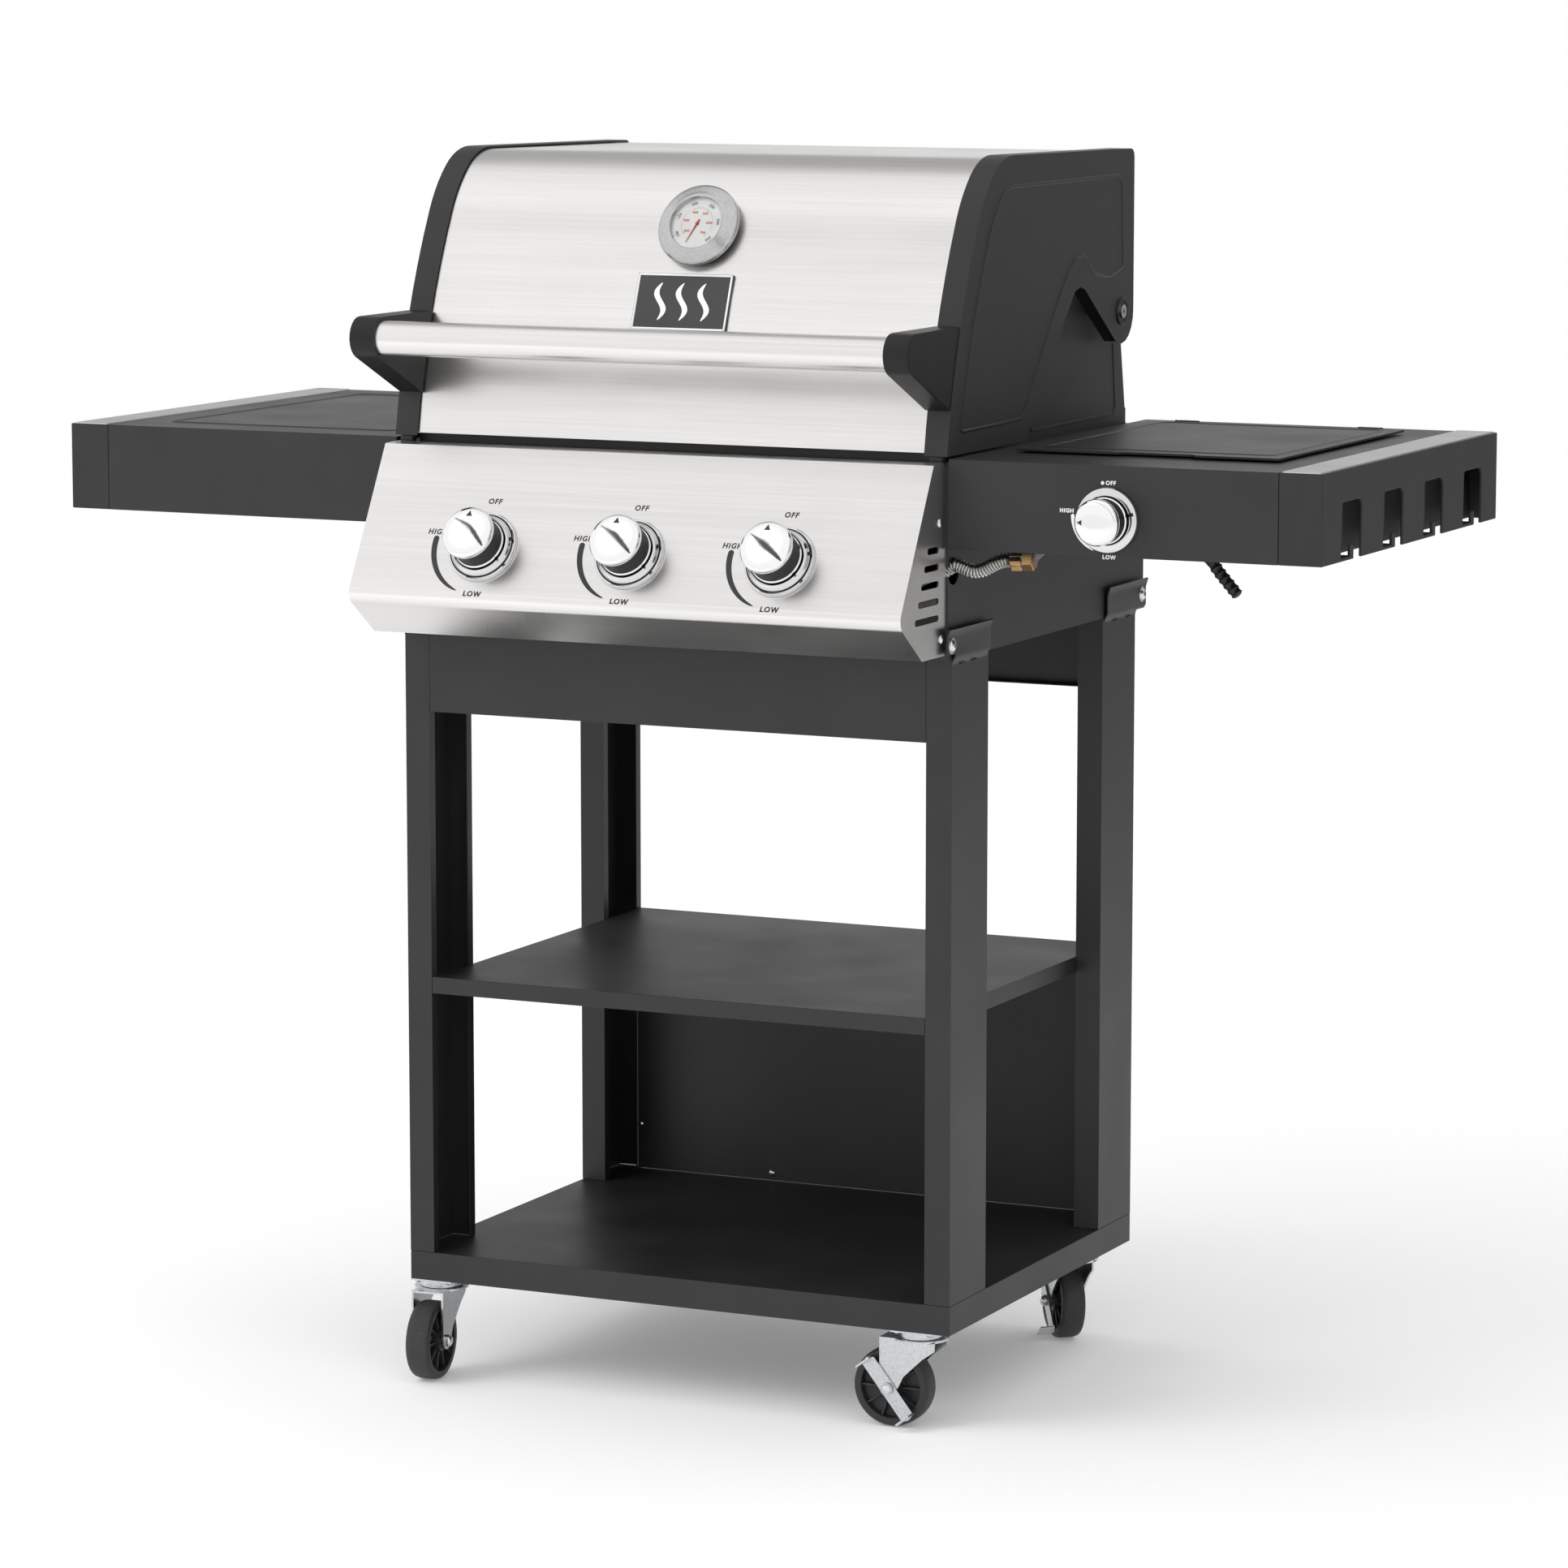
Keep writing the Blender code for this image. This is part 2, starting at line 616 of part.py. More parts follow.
def firebox():
    """A skirt around an inner tub. The tub's sides carry on upwards as cheeks for the hood's hinge."""
    w, front, rear, bottom, top = CART_HALF_WIDTH, BODY_FRONT, BODY_REAR, BODY_BOTTOM, BODY_TOP
    made = box("firebox", (-w, front, bottom), (w, rear, top))
    carve(made, box("skirt_hollow", (-w + SHEET, front + SHEET, bottom - SHEET), (w - SHEET, rear - SHEET, top - SHEET)))
    tw, tf, tr = TUB_HALF_WIDTH, TUB_FRONT, TUB_REAR
    merge(made, box("tub", (-tw, tf, TUB_FLOOR), (tw, tr, TUB_RIM)))
    cheek = hinge_cheek_outline()
    for sign in (-1, 1):
        span = sorted((sign * (tw - SHEET), sign * (tw + GAP)))
        merge(made, prism(f"hinge_cheek_{sign + 1}", cheek, "X", *span))
    hole = HINGE_RADIUS + RUNNING
    slot_x, slot_y = GREASE_SLOT
    carve(
        made,
        box("tub_hollow", (-tw + SHEET, tf + SHEET, TUB_FLOOR + SHEET), (tw - SHEET, tr - SHEET, HINGE[1] + 0.1)),
        box("grease_slot", (-slot_x, -slot_y, TUB_FLOOR - SHEET), (slot_x, slot_y, TUB_FLOOR + 2 * SHEET)),
        rod("hinge_hole", (-w, *HINGE), (w, *HINGE), hole, 16),
        rod("pipe_hole", (w - 2 * SHEET, *PIPE_ROUTE[0][1:]), (w + SHEET, *PIPE_ROUTE[0][1:]), PIPE_HOLE_RADIUS, 20),
        box("pipe_window", (w - 0.045, front - SHEET, 0.745), (w - 2 * SHEET, front + 2 * SHEET, 0.830)),
        box("tray_mouth", (-TRAY_WIDTH - 0.0110, rear - 2 * SHEET, TRAY_BOTTOM - 0.002), (TRAY_WIDTH + 0.0110, rear + SHEET, 0.7725)),
    )
    for index in range(3):
        x = (index - 1) * KNOB_PITCH
        start, end = (x, front - SHEET, BURNER_LEVEL), (x, tf + 2 * SHEET, BURNER_LEVEL)
        carve(made, rod(f"burner_hole_{index}", start, end, BURNER_RADIUS + SHEET, 16))
    for sign in (-1, 1):
        near, far = sorted((sign * (TRAY_WIDTH + 2 * GAP), sign * (w - SHEET / 2)))
        merge(made, box(f"tray_rail_{sign + 1}", (near, TRAY_FRONT, RAIL_LEVEL - SHEET), (far, rear - SHEET / 2, RAIL_LEVEL)))
        near, far = sorted((sign * (tw - GRATE_LEDGE), sign * (tw - SHEET / 2)))
        ledge = HEAT_PLATE_LEVEL - SHEET - GAP
        merge(made, box(f"heat_ledge_{sign + 1}", (near, tf + SHEET / 2, ledge - SHEET), (far, tr - SHEET / 2, ledge)))
    ledge = GRATE_LEVEL - GAP
    for y, depth in ((tf + SHEET / 2, GRATE_LEDGE), (tr - SHEET / 2 - GRATE_LEDGE, GRATE_LEDGE)):
        merge(made, box(f"grate_ledge_{y:.2f}", (-tw + SHEET / 2, y, ledge - 2 * SHEET), (tw - SHEET / 2, y + depth, ledge)))
    return made


def hinge_cheek_outline():
    """A plate that rises from the tub's side to the hinge, behind the hood's side."""
    y, z = HINGE
    outline = [(-0.0850, BODY_TOP - SHEET), (-0.0850, TUB_RIM), (0.0450, z + 0.0340)]
    outline += [(y - 0.030, z + 0.0240)]
    outline += arc(HINGE, 0.0220, 80, 10, 5)
    outline += [(0.2229, 0.9768), (TUB_REAR, BODY_TOP), (TUB_REAR, BODY_TOP - SHEET)]
    return outline


def heat_plate():
    """One sheet with a ridge over each burner."""
    w = TUB_HALF_WIDTH - SHEET - 2 * RUNNING
    low, rise, half = HEAT_PLATE_LEVEL, HEAT_PLATE_RISE, HEAT_PLATE_HALF_RIDGE
    top = [(-w, low)]
    for index in range(3):
        x = (index - 1) * KNOB_PITCH
        top += [(x - half, low), (x - 0.004, low + rise), (x + 0.004, low + rise), (x + half, low)]
    top += [(w, low)]
    under = [(x, z - SHEET) for x, z in reversed(top)]
    return prism("heat_plate", top + under, "Y", TUB_FRONT + 0.012, TUB_REAR - 0.012)


def slotted_plate(name, low, high, bars, frame):
    """A grate: a plate with a row of slots that leaves bars running front to back."""
    made = box(name, low, high)
    pitch = (high[0] - low[0] - frame) / bars
    opening = pitch * 0.62
    for index in range(bars):
        x = low[0] + frame / 2 + pitch * (index + 0.5)
        slot_low = (x - opening / 2, low[1] + frame, low[2] - 0.001)
        slot_high = (x + opening / 2, high[1] - frame, high[2] + 0.001)
        carve(made, box(f"{name}_slot_{index}", slot_low, slot_high))
    return made


def cooking_grate():
    w = TUB_HALF_WIDTH - SHEET - 0.002
    low = (-w, TUB_FRONT + SHEET + 0.001, GRATE_LEVEL)
    high = (w, TUB_REAR - SHEET - 0.001, GRATE_LEVEL + GRATE_THICKNESS)
    return slotted_plate("cooking_grate", low, high, GRATE_BARS, GRATE_FRAME)


def warming_rack():
    w = TUB_HALF_WIDTH - SHEET - GAP
    low = (-w, RACK_FRONT, RACK_LEVEL)
    high = (w, RACK_REAR, RACK_LEVEL + RACK_THICKNESS)
    made = box("warming_rack", low, high)
    pitch = (RACK_REAR - RACK_FRONT - RACK_THICKNESS) / RACK_BARS
    for index in range(RACK_BARS):
        y = RACK_FRONT + RACK_THICKNESS + pitch * index
        slot = ((-w + RACK_THICKNESS, y, low[2] - 0.001), (w - RACK_THICKNESS, y + pitch - RACK_THICKNESS, high[2] + 0.001))
        carve(made, box(f"rack_slot_{index}", *slot))
    return made


def grease_tray():
    """A pan whose side flanges slide on two rails. Its rear face covers its opening."""
    w, front, low, high = TRAY_WIDTH, TRAY_FRONT, TRAY_BOTTOM, TRAY_TOP_LEVEL
    rear = BODY_REAR + GAP
    made = box("grease_tray", (-w, front, low), (w, rear + SHEET, high))
    flange = RAIL_LEVEL + GAP
    merge(made, box("tray_flanges", (-w - TRAY_FLANGE, front, flange), (w + TRAY_FLANGE, rear - 0.002, high)))
    carve(made, box("tray_bowl", (-w + SHEET, front + SHEET, low + SHEET), (w - SHEET, rear - 0.004, high + SHEET)))
    merge(made, box("tray_face", (-w - 0.0150, rear, low - 0.0080), (w + 0.0150, rear + SHEET, high + 0.0070)))
    return made


def burner_set():
    """A manifold across the front, with a valve and a long burner tube at each knob."""
    normal = panel_normal()
    bases = [Vector(((index - 1) * KNOB_PITCH, *panel_point(KNOB_LEVEL))) for index in range(3)]
    _, my, mz = bases[1] - normal * MANIFOLD_SETBACK
    made = rod("burner_set", (-0.2350, my, mz), (0.2560, my, mz), MANIFOLD_RADIUS, 14)
    for index, base in enumerate(bases):
        x = base.x
        merge(
            made,
            rod(f"valve_{index}", base - normal * 0.0140, (x, my, mz), VALVE_RADIUS, 12),
            box(f"riser_{index}", (x - 0.008, my - 0.007, mz), (x + 0.008, my + 0.007, BURNER_LEVEL)),
            rod(f"burner_tube_{index}", (x, my - 0.012, BURNER_LEVEL), (x, BURNER_REAR, BURNER_LEVEL), BURNER_RADIUS, 14),
        )
    reach = STEM_INNER + KNOB_TRAVEL + 0.002
    for index, base in enumerate(bases):
        carve(made, rod(f"valve_bore_{index}", base, base - normal * reach, STEM_RADIUS + RUNNING, 14))
    end = Vector(PIPE_ROUTE[0]) - Vector((PIPE_END_GAP, 0, 0))
    past = end + (end - Vector((0.2500, my, mz))) * 0.2
    merge(made, rod("pipe_elbow", (0.2500, my, mz), past, 0.0055, 10))
    return carve(made, box("elbow_end", end - Vector((0, 0.02, 0.02)), end + Vector((0.03, 0.02, 0.02))))


# Control panel


def panel_normal():
    """Outwards from the sloping face."""
    return Vector((0, -math.sin(PANEL_LEAN), math.cos(PANEL_LEAN)))


def panel_point(level):
    """(Y, Z) on the sloping face at a height."""
    share = (level - PANEL_BEND[1]) / (PANEL_TOP_FRONT[1] - PANEL_BEND[1])
    y = PANEL_BEND[0] + share * (PANEL_TOP_FRONT[0] - PANEL_BEND[0])
    return (y, level)


def panel_outline(inset):
    top_front, top_rear, bend = Vector(PANEL_TOP_FRONT), Vector(PANEL_TOP_REAR), Vector(PANEL_BEND)
    low_front = Vector(PANEL_BOTTOM_FRONT)
    low_rear = Vector((PANEL_REAR, PANEL_BOTTOM_FRONT[1]))
    top_end = Vector((PANEL_REAR, PANEL_TOP_REAR[1] - 0.0060))
    corners = [top_end, top_rear, top_front, bend, low_front, low_rear]
    if inset:
        corners = inset_outline(corners, inset)
        rear = PANEL_REAR + 0.01
        corners[0].x = rear
        corners[-1].x = rear
    outline = [tuple(corners[0]), tuple(corners[1]), tuple(corners[2])]
    outline += rounded(corners[2], corners[3], corners[4], PANEL_BEND_RADIUS - inset)
    outline += [tuple(corners[4]), tuple(corners[5])]
    return outline


def inset_outline(corners, inset):
    """The corners of a closed outline moved inwards, so that each side moves by the inset."""
    moved = []
    count = len(corners)
    area = sum(corners[i].cross(corners[(i + 1) % count]) for i in range(count))
    turn = 1 if area > 0 else -1
    for i, corner in enumerate(corners):
        before, after = corners[i - 1], corners[(i + 1) % count]
        one = (corner - before).normalized()
        two = (after - corner).normalized()
        inward_one = Vector((-one.y, one.x)) * turn
        inward_two = Vector((-two.y, two.x)) * turn
        middle = (inward_one + inward_two).normalized()
        moved.append(corner + middle * inset / middle.dot(inward_one))
    return moved


def control_panel():
    w = PANEL_HALF_WIDTH
    made = prism("control_panel", panel_outline(0), "X", -w, w)
    carve(made, prism("panel_hollow", panel_outline(SHEET), "X", -w + SHEET, w - SHEET))
    for index in range(PANEL_SLOTS):
        z = PANEL_SLOT_TOP - index * PANEL_SLOT_PITCH
        front = PANEL_SLOT_FRONT - index * PANEL_SLOT_STEP
        radius = PANEL_SLOT_HEIGHT / 2
        outline = arc((PANEL_SLOT_REAR - radius, z), radius, -90, 90, 4)
        outline += arc((front + radius, z), radius, 90, 270, 4)
        carve(made, prism(f"panel_slot_{index}", outline, "X", -w - 0.01, w + 0.01))
    normal = panel_normal()
    for index in range(3):
        base = Vector(((index - 1) * KNOB_PITCH, *panel_point(KNOB_LEVEL)))
        carve(made, rod(f"stem_hole_{index}", base - normal * 0.01, base + normal * 0.01, STEM_RADIUS + 0.0015, 16))
    return made


def knob_dome(cap, height):
    """(radius, height) down a knob's domed face and over its edge."""
    return [
        (0, height),
        (cap * 0.55, height - 0.0006),
        (cap * 0.92, height - 0.0024),
        (cap, height - 0.0050),
        (cap, height - 0.0095),
    ]


def knob_pieces(place, pivot, size, looks):
    """A bezel, a stem that slides and a knob that turns on it, about the stem's axis with +Z
    outwards from the face."""
    cap, bezel, height = size
    lip = bezel - 0.0085
    ring = [
        (lip, 0.0095),
        (bezel - 0.0030, 0.0088),
        (bezel, 0.0045),
        (bezel, GAP),
        (STEM_RADIUS + 0.0020, GAP),
        (STEM_RADIUS + 0.0020, 0.0030),
        (lip, 0.0030),
    ]
    finish(turned(f"knob_bezel_{place}", ring, 24, closed=True), looks["chrome"], pivot)
    skirt = cap - 0.0016
    bore = STEM_RADIUS + RUNNING
    body = knob_dome(cap, height)
    body += [
        (skirt, height - 0.0100),
        (skirt, KNOB_FOOT),
        (skirt - KNOB_WALL, KNOB_FOOT),
        (skirt - KNOB_WALL, height - 0.0070),
        (2 * STEM_RADIUS, height - 0.0070),
        (2 * STEM_RADIUS, KNOB_FOOT),
        (bore, KNOB_FOOT),
        (bore, KNOB_SEAT),
        (0, KNOB_SEAT),
    ]
    finish(turned(f"knob_{place}", body, 24), looks["chrome"], pivot)
    stem = rod(f"valve_stem_{place}", (0, 0, -STEM_INNER), (0, 0, KNOB_SEAT - 2 * GAP), STEM_RADIUS, 14)
    finish(stem, looks["steel"], pivot)


def knobs(middle, looks):
    tilt = math.acos(panel_normal().z)
    for index, place in enumerate(("left", "middle", "right")):
        where = ((index - 1) * KNOB_PITCH, *panel_point(KNOB_LEVEL))
        pivot = empty(f"knob_axis_{place}", where, middle, (tilt, 0, 0))
        knob_pieces(place, pivot, PANEL_KNOB, looks)
    where = (SIDE_KNOB_X, SHELF_FRONT, SIDE_KNOB_LEVEL)
    pivot = empty("knob_axis_side", where, middle, (math.pi / 2, 0, 0))
    knob_pieces("side", pivot, SIDE_KNOB, looks)


# Hood


def hood_arc(inset, start_level):
    """The front and top of the hood's side outline, moved inwards, up to the top's straight run."""
    foot = Vector(HOOD_FOOT)
    begin = HOOD_FOOT_ANGLE
    points = []
    for radius, finish_angle in HOOD_ARCS:
        a = math.radians(begin)
        centre = foot + radius * Vector((math.cos(a), -math.sin(a)))
        reach = radius - inset
        first = begin
        if not points:
            first = math.degrees(math.asin((start_level - centre.y) / reach))
        step = math.degrees(2 * math.acos(1 - HOOD_CHORD / radius))
        count = math.ceil((finish_angle - first) / step)
        for i in range(0 if not points else 1, count + 1):
            b = math.radians(first + (finish_angle - first) * i / count)
            points.append(tuple(centre + reach * Vector((-math.cos(b), math.sin(b)))))
        b = math.radians(finish_angle)
        foot = centre + radius * Vector((-math.cos(b), math.sin(b)))
        begin = finish_angle
    return points


def hood_front(level, outward=0.0):
    """(Y, Z) on the first arc of the hood's outline at a height, moved outwards."""
    radius = HOOD_ARCS[0][0]
    a = math.radians(HOOD_FOOT_ANGLE)
    centre = Vector(HOOD_FOOT) + radius * Vector((math.cos(a), -math.sin(a)))
    rise = level - centre.y
    return (centre.x - math.sqrt((radius + outward) ** 2 - rise**2), level)


def hood_outline(inset, start_level, rear_level):
    """The hood's side outline from its front foot over the top and down its rear."""
    points = hood_arc(inset, start_level)
    last = Vector(points[-1])
    slope = math.radians(HOOD_ARCS[-1][1])
    radius = HOOD_REAR_RADIUS
    centre_y = HOOD_REAR - radius
    run = centre_y - last.x
    top = last.y + run * math.cos(slope)
    corner = arc((centre_y, top - (radius - inset)), radius - inset, 90, 0, 3)
    return points + corner + [(HOOD_REAR - inset, rear_level)]


def hood_skin():
    """A rolled sheet between the two sides, open at the bottom and low at the back."""
    w = HOOD_HALF_WIDTH - HOOD_BAND
    start = HOOD_FOOT[1] + SKIN_LIFT
    outer = hood_outline(SKIN_RECESS, start, SKIN_REAR_BOTTOM)
    inner = hood_outline(SKIN_RECESS + SHEET, start, SKIN_REAR_BOTTOM)
    made = prism("hood_skin", outer + list(reversed(inner)), "X", -w, w)
    base, normal = thermometer_place()
    carve(made, rod("thermometer_hole", base - normal * 0.02, base + normal * 0.02, THERMOMETER_STEM + 0.001, 14))
    return made


def hood_side(name, sign):
    """A side plate with a band around its front and top. A notch at its foot clears the body, and
    the ear behind the notch turns on the hinge."""
    y, z = HINGE
    bottom = HOOD_FOOT[1]
    outline = hood_outline(0, bottom, z)
    outline += arc(HINGE, HOOD_REAR - y, -15, -123, 6)
    outline += [NOTCH_REAR, NOTCH_TOP, NOTCH_SHOULDER, NOTCH_WAIST, (NOTCH_FRONT, bottom)]
    w = HOOD_HALF_WIDTH
    inner = w - HOOD_BAND + GAP
    span = sorted((sign * inner, sign * w))
    made = prism(name, outline, "X", *span)
    hollow = hood_outline(SHEET, bottom - 0.02, bottom - 0.02)
    hollow[-2:] = [(HOOD_REAR + 0.02, hollow[-4][1]), (HOOD_REAR + 0.02, bottom - 0.02)]
    depth = sorted((sign * (inner - 0.01), sign * (w - SHEET)))
    carve(made, prism(f"{name}_hollow", hollow, "X", *depth))
    hole = HINGE_RADIUS + RUNNING
    carve(made, rod(f"{name}_hole", (sign * (w - 0.02), y, z), (sign * (w + 0.02), y, z), hole, 16))
    return made


def hinge_pin(name, sign):
    """A shouldered screw from outside the hood's side, through the firebox's cheek."""
    inner = TUB_HALF_WIDTH - SHEET - 0.0030
    shoulder = HOOD_HALF_WIDTH + GAP
    y, z = HINGE
    made = rod(name, (sign * inner, y, z), (sign * (shoulder + GAP), y, z), HINGE_RADIUS, 16)
    head = rod(f"{name}_head", (sign * shoulder, y, z), (sign * (shoulder + HINGE_HEAD), y, z), HINGE_HEAD_RADIUS, 16)
    return merge(made, head)


def thermometer_place():
    """Where the thermometer's axis meets the hood's outline, and its direction."""
    radius = HOOD_ARCS[0][0]
    a = math.radians(HOOD_FOOT_ANGLE)
    centre = Vector(HOOD_FOOT) + radius * Vector((math.cos(a), -math.sin(a)))
    b = math.radians(THERMOMETER_ANGLE)
    out = Vector((-math.cos(b), math.sin(b)))
    point = centre + radius * out
    return Vector((THERMOMETER_X, *point)), Vector((0, *out))


def thermometer(pivot, looks):
    rim = THERMOMETER_RADIUS
    profile = [
        (0, 0.0085),
        (0.0270, 0.0085),
        (0.0280, 0.0120),
        (0.0310, 0.0130),
        (rim - 0.0010, 0.0090),
        (rim, 0.0060),
        (rim, 0.0035),
        (0.0200, 0.0030),
        (0.0200, -0.0010),
        (THERMOMETER_STEM, -0.0010),
        (THERMOMETER_STEM, -0.0350),
        (0, -0.0350),
    ]
    finish(turned("thermometer", profile, 28), looks["steel"], pivot)


def handle_bar():
    w = HANDLE_HALF_LENGTH
    return rod("handle_bar", (-w, *HANDLE_CENTRE), (w, *HANDLE_CENTRE), HANDLE_RADIUS, 28)


def handle_bracket(name, sign):
    """A cheek from the hood's band to the bar, with a blind socket that holds the bar's end."""
    y, z = HANDLE_CENTRE
    reach = HANDLE_RADIUS + BRACKET_WALL
    outline = arc(HANDLE_CENTRE, reach, 90, 245, 10)
    foot, top = HANDLE_BRACKET_FOOT, z + reach
    outline += [hood_front(foot + (top - foot) * i / 3, GAP) for i in range(4)]
    span = sorted((sign * HANDLE_BRACKET_INNER, sign * HANDLE_BRACKET_OUTER))
    made = prism(name, outline, "X", *span)
    ends = (sign * (HANDLE_BRACKET_INNER - 0.01), y, z), (sign * (HANDLE_HALF_LENGTH + GAP), y, z)
    carve(made, rod(f"{name}_socket", *ends, HANDLE_RADIUS + GAP, 28))
    return made


# Shelves and side burner


def shelf(name, sign):
    """A folded shelf, open below."""
    xs = sorted((sign * SHELF_INNER, sign * (CAP_INNER - GAP)))
    made = box(name, (xs[0], SHELF_FRONT, SHELF_BOTTOM), (xs[1], SHELF_REAR, SHELF_TOP))
    hollow_low = (xs[0] + SHEET, SHELF_FRONT + SHEET, SHELF_BOTTOM - SHEET)
    hollow_high = (xs[1] - SHEET, SHELF_REAR - SHEET, SHELF_TOP - SHEET)
    return carve(made, box(f"{name}_hollow", hollow_low, hollow_high))


def shelf_right():
    """The right shelf, with an opening for the side burner, a hole for its stem and two hinge ears."""
    made = shelf("shelf_right", 1)
    clear = 0.0020
    low = (SIDE_X - SIDE_HALF_WIDTH - clear, SIDE_Y - SIDE_HALF_DEPTH - clear, SHELF_TOP - 0.01)
    high = (SIDE_X + SIDE_HALF_WIDTH + clear, SIDE_Y + SIDE_HALF_DEPTH + clear, SHELF_TOP + 0.01)
    stem = (SIDE_KNOB_X, SHELF_FRONT - 0.01, SIDE_KNOB_LEVEL), (SIDE_KNOB_X, SHELF_FRONT + 0.01, SIDE_KNOB_LEVEL)
    carve(made, box("side_opening", low, high), rod("side_stem_hole", *stem, STEM_RADIUS + 0.0015, 16))
    y, z = lid_hinge()
    for sign in (-1, 1):
        x = SIDE_X + sign * (KNUCKLE_X + KNUCKLE_LENGTH / 2 + 0.0025)
        foot_low = (x - 0.0020, y - KNUCKLE_RADIUS, SHELF_TOP - SHEET / 2)
        foot_high = (x + 0.0020, y + KNUCKLE_RADIUS, z)
        eye = rod(f"lid_ear_{sign + 1}", (x - 0.0020, y, z), (x + 0.0020, y, z), KNUCKLE_RADIUS, 12)
        merge(made, box(f"lid_ear_foot_{sign + 1}", foot_low, foot_high), eye)
    return made


def end_cap(name, sign):
    """A moulded cap, open below, with four tool slots. A hook stands at the foot of each slot."""
    xs = sorted((sign * CAP_INNER, sign * SHELF_OUTER))
    wall = CAP_WALL
    made = box(name, (xs[0], SHELF_FRONT, SHELF_BOTTOM), (xs[1], SHELF_REAR, SHELF_TOP))
    hollow_low = (xs[0] + wall, SHELF_FRONT + wall, SHELF_BOTTOM - wall)
    hollow_high = (xs[1] - wall, SHELF_REAR - wall, SHELF_TOP - wall)
    carve(made, box(f"{name}_hollow", hollow_low, hollow_high))
    outer = sorted((sign * (SHELF_OUTER - 2 * wall), sign * (SHELF_OUTER + wall)))
    hook = sorted((sign * (SHELF_OUTER - HOOK_DEPTH), sign * SHELF_OUTER))
    tip = sorted((sign * (SHELF_OUTER - wall), sign * SHELF_OUTER))
    for index in range(4):
        y = HOOK_SLOT_FIRST + index * HOOK_SLOT_PITCH
        far = y + HOOK_SLOT_WIDTH
        low, top, r = SHELF_BOTTOM - 0.01, HOOK_SLOT_TOP, HOOK_SLOT_RADIUS
        outline = [(y, low), (far, low)]
        outline += rounded((far, low), (far, top), (y, top), r, 3)
        outline += rounded((far, top), (y, top), (y, low), r, 3)
        carve(made, prism(f"{name}_slot_{index}", outline, "X", *outer))
        reach = y + HOOK_REACH * HOOK_SLOT_WIDTH
        merge(
            made,
            box(f"{name}_arm_{index}", (hook[0], y - wall, SHELF_BOTTOM), (hook[1], reach, SHELF_BOTTOM + wall)),
            box(f"{name}_tip_{index}", (tip[0], reach - 3 * wall, SHELF_BOTTOM + wall / 2), (tip[1], reach, SHELF_BOTTOM + HOOK_TIP)),
        )
    return made


def side_burner():
    """A drop-in pan with a burner head, and the valve, venturi and gas fitting under it."""
    x, y = SIDE_X, SIDE_Y
    w, d = SIDE_HALF_WIDTH, SIDE_HALF_DEPTH
    seat = SHELF_TOP + GAP
    flange = 0.0010
    made = box("side_burner", (x - w - SIDE_FLANGE, y - d - SIDE_FLANGE, seat), (x + w + SIDE_FLANGE, y + d + SIDE_FLANGE, seat + flange))
    merge(made, box("pan", (x - w, y - d, SIDE_FLOOR), (x + w, y + d, seat + flange)))
    carve(made, box("pan_hollow", (x - w + SHEET, y - d + SHEET, SIDE_FLOOR + SHEET), (x + w - SHEET, y + d - SHEET, seat + 0.01)))
    valve_y = SHELF_FRONT + SHEET
    knob = (SIDE_KNOB_X, SIDE_KNOB_LEVEL)
    merge(
        made,
        rod("side_head", (x, y, SIDE_FLOOR + SHEET / 2), (x, y, SIDE_HEAD_TOP), SIDE_HEAD_RADIUS, 24),
        rod("side_venturi", (knob[0], valve_y + 0.020, knob[1]), (x, y, knob[1]), 0.0085, 12),
        rod("side_valve", (knob[0], valve_y + 0.0120, knob[1]), (knob[0], valve_y + 0.0480, knob[1]), VALVE_RADIUS, 12),
    )
    stem_reach = SHELF_FRONT + STEM_INNER + KNOB_TRAVEL + 0.002
    carve(made, rod("side_bore", (knob[0], valve_y, knob[1]), (knob[0], stem_reach, knob[1]), STEM_RADIUS + RUNNING, 14))
    end = Vector(PIPE_ROUTE[-1]) + Vector((PIPE_END_GAP, 0, 0))
    fitting_end = end + Vector((FITTING_LENGTH, 0.002, 0.0005))
    elbow = fitting_end + Vector((0.0180, 0.001, 0.0190))
    merge(
        made,
        rod("fitting", end, fitting_end, FITTING_RADIUS, 6),
        rod("inlet_low", fitting_end - Vector((0.003, 0, 0)), elbow, 0.0048, 10),
        rod("inlet_high", elbow - Vector((0.001, 0, 0.002)), (knob[0], valve_y + 0.030, knob[1]), 0.0048, 10),
    )
    return made


